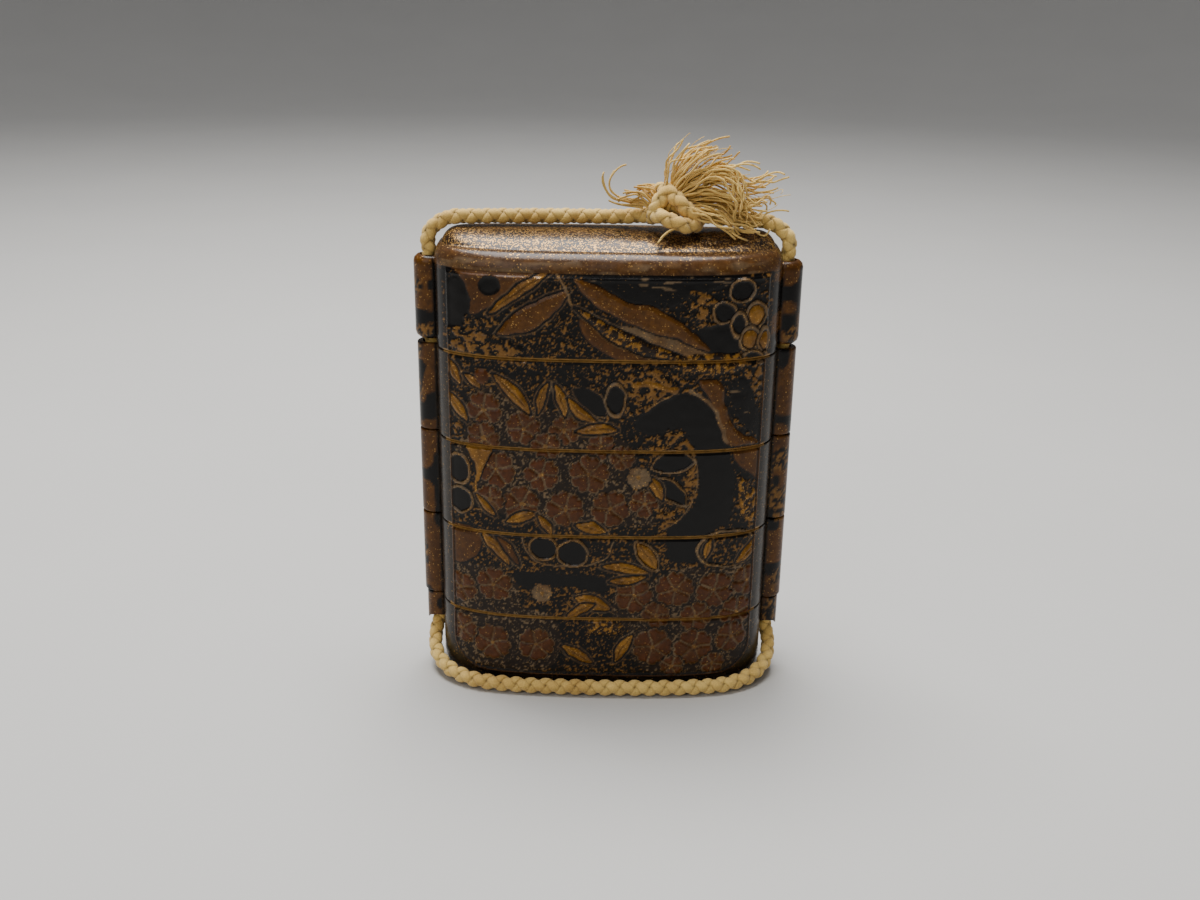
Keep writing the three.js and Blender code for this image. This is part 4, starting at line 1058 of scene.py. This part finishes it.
def lacquer(colours):
    """Worn maki-e lacquer: deep and glossy where it is black, dusted with fine gold where it is
    drawn, and duller and paler where handling has rubbed it."""
    made, tree, shader = new_material("Worn maki-e lacquer")
    place = add_node(tree, "ShaderNodeTexCoord").outputs["Object"]
    tint = add_node(tree, ATTRIBUTE, attribute_name="tint").outputs["Color"]
    dust = add_node(tree, ATTRIBUTE, attribute_name="dust").outputs["Fac"]
    wear = add_node(tree, ATTRIBUTE, attribute_name="wear").outputs["Fac"]

    # Gold dust is finer than 0.1 mm; it is drawn at 0.17 mm so that it shows
    grains = add_node(tree, "ShaderNodeTexVoronoi", {"Vector": place, "Scale": 1 / (0.17 * MM)})
    chance = add_node(tree, "ShaderNodeSeparateColor", (grains.outputs["Color"],))
    grain = add_node(tree, MATH, (dust, 0.4), operation="MULTIPLY")
    grain = add_node(tree, MATH, (grain, chance), operation="SUBTRACT")
    grain = add_node(tree, RANGE, (grain, 0.0, 0.05))

    # The colour is uneven, as hand-rubbed lacquer is, with the gold over it
    mottle = {"Vector": place, "Scale": 1 / (0.9 * MM), "Detail": 4.0, "Roughness": 0.65}
    mottle = add_node(tree, NOISE, mottle)
    shade = add_node(tree, RANGE, (mottle, 0.3, 0.7, 0.62, 1.32))
    base = add_node(tree, VECTOR, {0: tint, "Scale": shade}, operation="SCALE")
    covered = add_node(tree, MATH, (grain, 0.55), operation="MULTIPLY")
    gilt = {0: covered, 6: base, 7: (*colours["glint"], 1)}
    gilt = add_node(tree, MIX, gilt, data_type="RGBA").outputs[2]
    tree.links.new(gilt, shader.inputs["Base Color"])
    metal = add_node(tree, MATH, (grain, 0.5), operation="MULTIPLY")
    tree.links.new(metal.outputs[0], shader.inputs["Metallic"])

    # Scuffs and wear break up the gloss
    scuff = {"Vector": place, "Scale": 1 / (2.2 * MM), "Detail": 5.0, "Roughness": 0.7}
    scuff = add_node(tree, NOISE, scuff)
    worn = add_node(tree, MATH, (wear, 0.3), operation="MULTIPLY")
    scuffed = add_node(tree, MATH, (scuff, 0.16), operation="MULTIPLY")
    rough = add_node(tree, MATH, (worn, scuffed), operation="ADD")
    rough = add_node(tree, MATH, (rough, 0.16), operation="ADD")
    tree.links.new(rough.outputs[0], shader.inputs["Roughness"])

    # Broad waves, fine pits where it is worn, and the grains, all far too shallow to model
    fine = add_node(tree, NOISE, {"Vector": place, "Scale": 1 / (0.35 * MM), "Detail": 3.0})
    broad = add_node(tree, MATH, (scuff, 1.4), operation="MULTIPLY")
    pits = add_node(tree, MATH, (wear, 0.15), operation="ADD")
    pits = add_node(tree, MATH, (fine, pits), operation="MULTIPLY")
    lumps = add_node(tree, MATH, (broad, pits), operation="ADD")
    raised = add_node(tree, MATH, (grain, 0.3), operation="MULTIPLY")
    lumps = add_node(tree, MATH, (lumps, raised), operation="ADD")
    bump = {"Strength": 0.4, "Distance": 0.08 * MM, "Height": lumps}
    tree.links.new(add_node(tree, "ShaderNodeBump", bump).outputs[0], shader.inputs["Normal"])
    shader.inputs["IOR"].default_value = 1.5
    shader.inputs["Specular IOR Level"].default_value = 0.2
    return made


def silk(colours):
    """Old undyed silk cord: soft and matt, straw-coloured, with shade painted darker between strands."""
    made, tree, shader = new_material("Aged braided silk")
    place = add_node(tree, "ShaderNodeTexCoord").outputs["Object"]
    aged = add_node(tree, NOISE, {"Vector": place, "Scale": 1 / (6 * MM), "Detail": 3.0})
    # Fibres are far finer than this; 0.18 mm is as fine as shows
    fibre = add_node(tree, NOISE, {"Vector": place, "Scale": 1 / (0.18 * MM), "Detail": 2.0})
    aged = add_node(tree, MATH, (aged, 0.6), operation="MULTIPLY")
    streak = add_node(tree, MATH, (fibre, 0.4), operation="MULTIPLY")
    part = add_node(tree, MATH, (aged, streak), operation="ADD")
    part = add_node(tree, RANGE, (part, 0.32, 0.66))
    colour = {0: part, 6: (*colours["silk_shade"], 1), 7: (*colours["silk"], 1)}
    colour = add_node(tree, MIX, colour, data_type="RGBA").outputs[2]

    # Painted shade in the crevices: darker where a strand passes under another, and along its two edges
    over = add_node(tree, ATTRIBUTE, attribute_name="over").outputs["Fac"]
    around = add_node(tree, ATTRIBUTE, attribute_name="around").outputs["Fac"]
    crown = add_node(tree, MATH, (around, 0.5), operation="SUBTRACT")
    crown = add_node(tree, MATH, (crown, FULL_TURN), operation="MULTIPLY")
    crown = add_node(tree, MATH, (crown,), operation="COSINE")
    height = add_node(tree, MATH, (over, 0.5), operation="MULTIPLY")
    height = add_node(tree, MATH, (height, crown), operation="ADD")
    painted_crevice_shade = add_node(tree, RANGE, (height, -0.3, 1.0, 0.3, 1.0))
    # Only strands of the braid have a run, so loose threads get no painted shade
    strand = add_node(tree, ATTRIBUTE, attribute_name="run").outputs["Fac"]
    braided = add_node(tree, MATH, (strand, 0.00001), operation="GREATER_THAN")
    painted_crevice_shade = add_node(tree, MIX, {0: braided, 2: 1.0, 3: painted_crevice_shade}, data_type="FLOAT")
    colour = add_node(tree, VECTOR, {0: colour, "Scale": painted_crevice_shade}, operation="SCALE")
    tree.links.new(colour.outputs[0], shader.inputs["Base Color"])

    bump = {"Strength": 0.5, "Distance": 0.06 * MM, "Height": fibre}
    tree.links.new(add_node(tree, "ShaderNodeBump", bump).outputs[0], shader.inputs["Normal"])
    shader.inputs["Roughness"].default_value = 0.8
    shader.inputs["Sheen Weight"].default_value = 0.25
    shader.inputs["Sheen Roughness"].default_value = 0.5
    shader.inputs["Specular IOR Level"].default_value = 0.25
    return made


def floor_paper(colours):
    """Pale matt studio paper: an even ground with a faint tooth, so that it does not shine."""
    made, tree, shader = new_material("Pale studio paper")
    place = add_node(tree, "ShaderNodeTexCoord").outputs["Object"]
    tooth = add_node(tree, NOISE, {"Vector": place, "Scale": 1 / (60 * MM), "Detail": 3.0})
    shade = add_node(tree, RANGE, {0: tooth, 3: 0.96, 4: 1.03})
    paper = {0: tuple(colours["floor"]), "Scale": shade}
    paper = add_node(tree, VECTOR, paper, operation="SCALE")
    tree.links.new(paper.outputs[0], shader.inputs["Base Color"])
    shader.inputs["Roughness"].default_value = 0.85
    return made


# ---------------------------------------------------------------- what a user can change


def colour_property(name, description, hex_colour):
    return bpy.props.FloatVectorProperty(
        name=name, description=description, subtype="COLOR", size=3, min=0.0, max=1.0, default=linear(hex_colour)
    )


def length_property(name, description, millimetres):
    return bpy.props.FloatProperty(name=name, description=description, default=millimetres, min=0.001, precision=3)


class InroColours(bpy.types.PropertyGroup):
    """The colours of the lacquer, the silk and the floor."""

    black: colour_property("Black", "Bare black lacquer", "#060403")
    earth: colour_property("Earth", "Dark brown ground between petals and under gold dust", "#1f140b")
    # This pale colour is also painted highlight on the raised edges of leaves and petals, and along the ring's outer
    # edge
    bare: colour_property("Rubbed", "Lacquer rubbed pale on edges and lines", "#6d5940")
    umber: colour_property("Umber", "Long leaves dusted with dark gold", "#58360e")
    brown: colour_property("Brown", "Broad areas of brown gold", "#47290b")
    russet: colour_property("Russet", "Petals of the blossoms", "#4b260a")
    gold: colour_property("Gold", "Bright gold leaves", "#855c1f")
    flake: colour_property("Flake", "Broken gold flakes on black", "#735023")
    rim: colour_property("Rim", "The lid's top and shoulder", "#4a3320")
    side: colour_property("Side", "Plain strips beside the runners", "#2b231b")
    glint: colour_property("Glint", "Single grains of gold dust", "#c99b58")
    silk: colour_property("Silk", "The cord's silk", "#ecc973")
    silk_shade: colour_property("Silk shade", "Darker, dirtier silk", "#b58c45")
    floor: colour_property("Floor", "The studio floor", "#bdbbb7")


class CaseSettings(bpy.types.PropertyGroup):
    """How finely the case's relief is modelled, in millimetres."""

    fine: length_property("Front spacing (mm)", "Spacing of the front's columns", 0.17)
    wide: length_property("Back spacing (mm)", "Spacing of the back's columns", 0.27)


class CordSettings(bpy.types.PropertyGroup):
    """The sizes of the braided cord, in millimetres."""

    pitch: length_property("Braid pitch (mm)", "Length in which a strand goes once round the cord", 4.8)
    braid_radius: length_property("Braid radius (mm)", "How far the strands lie from the cord's middle", 0.54)
    undulation: length_property("Undulation (mm)", "How far a strand moves in and out as it crosses others", 0.26)
    strand_width: length_property("Strand width (mm)", "Half the width of one flattened strand", 0.8)
    strand_thickness: length_property("Strand thickness (mm)", "Half the thickness of one strand", 0.5)
    step: length_property("Step (mm)", "Spacing of the points along the cord", 0.3)
    unevenness: length_property("Unevenness (mm)", "How unevenly the strands are pulled", 0.14)
    strands: bpy.props.IntProperty(name="Strands each way", description="Strands of each hand", default=2, min=1)
    sides: bpy.props.IntProperty(name="Sides", description="Faces round a strand", default=14, min=6)


class FraySettings(bpy.types.PropertyGroup):
    """The frayed ends of the cord, in millimetres."""

    spread: length_property("Spread (mm)", "How far threads stray from their lock at its tip", 1.0)
    wave: length_property("Wave (mm)", "How far a thread waves from side to side", 0.4)
    wave_length: length_property("Wave length (mm)", "Length of one wave in a thread", 4.6)
    thread_radius: length_property("Thread radius (mm)", "Radius of a thread at its root", 0.2)
    threads: bpy.props.IntProperty(name="Threads", description="Threads in each lock", default=7, min=1)
    seed: bpy.props.IntProperty(name="Seed", description="Seed of the threads' places", default=4, min=0)


class StageSettings(bpy.types.PropertyGroup):
    """The camera and the light."""

    lens: bpy.props.FloatProperty(name="Lens", description="Focal length", default=39.0, unit="CAMERA")
    elevation: bpy.props.FloatProperty(name="Elevation", description="How far the camera looks down", default=math.radians(20.3), subtype="ANGLE")
    azimuth: bpy.props.FloatProperty(name="Azimuth", description="How far round the camera stands", default=math.radians(0.2), subtype="ANGLE")
    roll: bpy.props.FloatProperty(name="Roll", description="How far the camera leans", default=math.radians(0.92), subtype="ANGLE")
    key_power: bpy.props.FloatProperty(name="Key light", description="Power of the light overhead", default=8.0, min=0.0, unit="POWER")
    fill_power: bpy.props.FloatProperty(name="Fill light", description="Power of the light in front", default=2.0, min=0.0, unit="POWER")
    world: bpy.props.FloatProperty(name="World", description="Strength of the even light all round", default=0.22, min=0.0)


SETTINGS = {
    "inro_colours": InroColours,
    "inro_case": CaseSettings,
    "inro_cord": CordSettings,
    "inro_fray": FraySettings,
    "inro_stage": StageSettings,
}


def chosen_colours(context):
    colours = context.scene.inro_colours
    return {name: np.array(getattr(colours, name)) for name in InroColours.__annotations__}


def braid_values(cord, material):
    """The braid tree's inputs, in metres."""
    return {
        "Pitch": cord.pitch * MM,
        "Braid Radius": cord.braid_radius * MM,
        "Undulation": cord.undulation * MM,
        "Strand Width": cord.strand_width * MM,
        "Strand Thickness": cord.strand_thickness * MM,
        "Step": cord.step * MM,
        "Unevenness": cord.unevenness * MM,
        "Strands": cord.strands,
        "Sides": cord.sides,
        "Material": material,
    }


# ---------------------------------------------------------------- operators


class MakeStage(bpy.types.Operator):
    """Makes the floor, the lights and the camera"""

    bl_idname = "inro.make_stage"
    bl_label = "Make Stage"

    def execute(self, context):
        stage = context.scene.inro_stage
        self.add_camera(context, stage)
        # A round floor that turns up far away, so that it fills every view
        bend = np.radians(np.arange(8, 89, 8))
        radii = [*np.linspace(20, FLOOR_RADIUS, 12), *(FLOOR_RADIUS + FLOOR_BEND * np.sin(bend))]
        heights = [*[0.0] * 12, *(FLOOR_BEND * (1 - np.cos(bend)))]
        radii.append(FLOOR_RADIUS + FLOOR_BEND)
        heights.append(FLOOR_TOP)
        turn = np.radians(np.arange(0, 360, 360 // FLOOR_COLUMNS))
        rings = []
        for radius, height in zip(radii, heights):
            level = np.full(FLOOR_COLUMNS, height)
            rings.append(np.stack((radius * np.cos(turn), radius * np.sin(turn), level), axis=1))
        faces = [list(range(FLOOR_COLUMNS))]
        for start in range(0, FLOOR_COLUMNS * (len(rings) - 1), FLOOR_COLUMNS):
            for i in range(FLOOR_COLUMNS):
                near, far = start + i, start + (i + 1) % FLOOR_COLUMNS
                faces.append((near + FLOOR_COLUMNS, far + FLOOR_COLUMNS, far, near))
        mesh = new_mesh("floor", np.vstack(rings), faces)
        mesh.shade_smooth()
        mesh.materials.append(floor_paper(chosen_colours(context)))
        new_object("floor", mesh)
        self.add_light("key", stage.key_power, 0.4, (-0.05, 0.12, 0.6), (0, 0, 0.04))
        self.add_light("fill", stage.fill_power, 0.6, (-0.35, -0.6, 0.5), (0, 0, 0.04))
        world = bpy.data.worlds.new("Soft studio")
        world.use_nodes = True
        world.node_tree.nodes["Background"].inputs["Color"].default_value = (0.9, 0.93, 1.0, 1)
        world.node_tree.nodes["Background"].inputs["Strength"].default_value = stage.world
        context.scene.world = world
        return {"FINISHED"}

    def add_camera(self, context, stage):
        """Stands the camera before the case, a little above it."""
        elevation, azimuth, roll = stage.elevation, stage.azimuth, stage.roll
        level = math.cos(elevation)
        back = Vector((math.sin(azimuth) * level, -math.cos(azimuth) * level, math.sin(elevation)))
        right = Vector((math.cos(azimuth), math.sin(azimuth), 0))
        up = back.cross(right)
        aim = Vector((0, 0, CAMERA_HEIGHT)) + back * CAMERA_DISTANCE
        place = (aim + right * CAMERA_SHIFT_RIGHT + up * CAMERA_SHIFT_UP) * MM
        x_axis = right * math.cos(roll) + up * math.sin(roll)
        y_axis = up * math.cos(roll) - right * math.sin(roll)
        data = bpy.data.cameras.new("camera")
        data.lens, data.sensor_width = stage.lens, 36.0
        data.clip_start = 0.01
        camera = new_object("camera", data)
        camera.matrix_world = Matrix.Translation(place) @ Matrix((x_axis, y_axis, back)).transposed().to_4x4()
        context.scene.camera = camera

    def add_light(self, name, power, size, place, target):
        data = bpy.data.lights.new(name, "AREA")
        data.energy, data.size = power, size
        light = new_object(name, data)
        light.location = place
        light.rotation_euler = (Vector(target) - Vector(place)).to_track_quat("-Z", "Y").to_euler()


class MakeCord(bpy.types.Operator):
    """Makes the one long cord, a round braid of silk, and the knot and frayed ends on the lid"""

    bl_idname = "inro.make_cord"
    bl_label = "Make Cord and Knot"

    def execute(self, context):
        material = silk(chosen_colours(context))
        values = braid_values(context.scene.inro_cord, material)
        braid = braid_tree()
        route = curve_through(CORD_ROUTE, 10)
        mesh = grown("cord_braided", braid, [route], values)
        self.check(mesh)
        cord = new_object("cord_braided", mesh)
        knot = self.make_knot(context, braid, values, material)
        for piece, node in ((cord, "cord"), (knot, "cord_knot")):
            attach(piece, "root")
            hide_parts(node)
        return {"FINISHED"}

    def check(self, mesh):
        if not mesh.polygons:
            raise RuntimeError("the tree grew nothing")

    def make_knot(self, context, braid, values, material):
        """The wraps, the tucked end and the frayed threads, as one piece."""
        fray = context.scene.inro_fray
        wraps = [curve_through(points, 8) for points in KNOT_WRAPS]
        parts = [grown("knot_wraps", braid, wraps, values)]
        threads = frayed_tree()
        shared = {"Wave Length": fray.wave_length * MM, "Step": 0.5 * MM, "Sides": 5, "Material": material}
        groups = (
            (LONG_LOCKS, fray.spread, 0.55, fray.wave, fray.thread_radius, fray.threads, fray.seed),
            (LONG_LOCKS, fray.spread * 1.5, 0.6, fray.wave * 1.4, fray.thread_radius * 0.35, 3, fray.seed + 1),
            (SHORT_LOCKS, 0.7, 0.5, fray.wave, fray.thread_radius, 8, fray.seed + 2),
            (CURLS, 0.1, 0.08, 0.1, fray.thread_radius, 2, fray.seed + 3),
        )
        for locks, spread, root, wave, radius, count, seed in groups:
            guides = [curve_through(points, 8) for points in locks]
            grow = {"Spread": spread * MM, "Root Spread": root * MM, "Wave": wave * MM}
            grow |= {"Thread Radius": radius * MM, "Threads": count, "Seed": seed, **shared}
            parts.append(grown("threads", threads, guides, grow))
        for part in parts:
            self.check(part)
        return new_object("knot_frayed", joined_mesh("knot_frayed", parts, material))


def joined_mesh(name, meshes, material):
    """Several meshes as one, with the strands' attributes kept."""
    points, faces, start = [], [], 0
    kept = {"run": [], "around": [], "over": []}
    for mesh in meshes:
        count = len(mesh.vertices)
        place = np.empty(count * 3)
        mesh.vertices.foreach_get("co", place)
        points.append(place.reshape(-1, 3))
        for label, parts in kept.items():
            values = np.zeros(count)
            if label in mesh.attributes:
                mesh.attributes[label].data.foreach_get("value", values)
            parts.append(values)
        faces += [[start + i for i in polygon.vertices] for polygon in mesh.polygons]
        start += count
    made = bpy.data.meshes.new(name)
    made.from_pydata(np.vstack(points).tolist(), [], faces)
    for label, parts in kept.items():
        made.attributes.new(label, "FLOAT", "POINT").data.foreach_set("value", np.concatenate(parts))
    made.materials.append(material)
    made.shade_smooth()
    return made


class MakeCase(bpy.types.Operator):
    """Makes the foot tray, the three trays and the lid, with their runners and decoration"""

    bl_idname = "inro.make_case"
    bl_label = "Make Case"

    def execute(self, context):
        case = context.scene.inro_case
        colours = chosen_colours(context)
        finish = lacquer(colours)
        columns = oval_columns(case.fine, case.wide)
        for node in ("foot_tray", *TRAYS, "lid"):
            piece = case_piece(node, columns, colours, finish)
            if len(piece.data.polygons) < 1000:
                raise RuntimeError(node + " wasn't built")
        return {"FINISHED"}


class InroPanel(bpy.types.Panel):
    """Lists the operators that make the inro"""

    bl_idname = "VIEW3D_PT_inro"
    bl_label = "Inro"
    bl_space_type = "VIEW_3D"
    bl_region_type = "UI"
    bl_category = "Inro"

    def draw(self, context):
        for operator in OPERATORS:
            self.layout.operator(operator.bl_idname)
        for name, settings in SETTINGS.items():
            group = getattr(context.scene, name)
            for field in settings.__annotations__:
                self.layout.prop(group, field)


OPERATORS = (MakeStage, MakeCord, MakeCase)


def register():
    for made in (*SETTINGS.values(), *OPERATORS, InroPanel):
        bpy.utils.register_class(made)
    for name, settings in SETTINGS.items():
        setattr(bpy.types.Scene, name, bpy.props.PointerProperty(type=settings))


def unregister():
    for name in SETTINGS:
        delattr(bpy.types.Scene, name)
    for made in (InroPanel, *OPERATORS[::-1], *tuple(SETTINGS.values())[::-1]):
        bpy.utils.unregister_class(made)


def main():
    register()
    bpy.ops.inro.make_stage()
    bpy.ops.inro.make_cord()
    bpy.ops.inro.make_case()


if __name__ == "__main__":
    main()
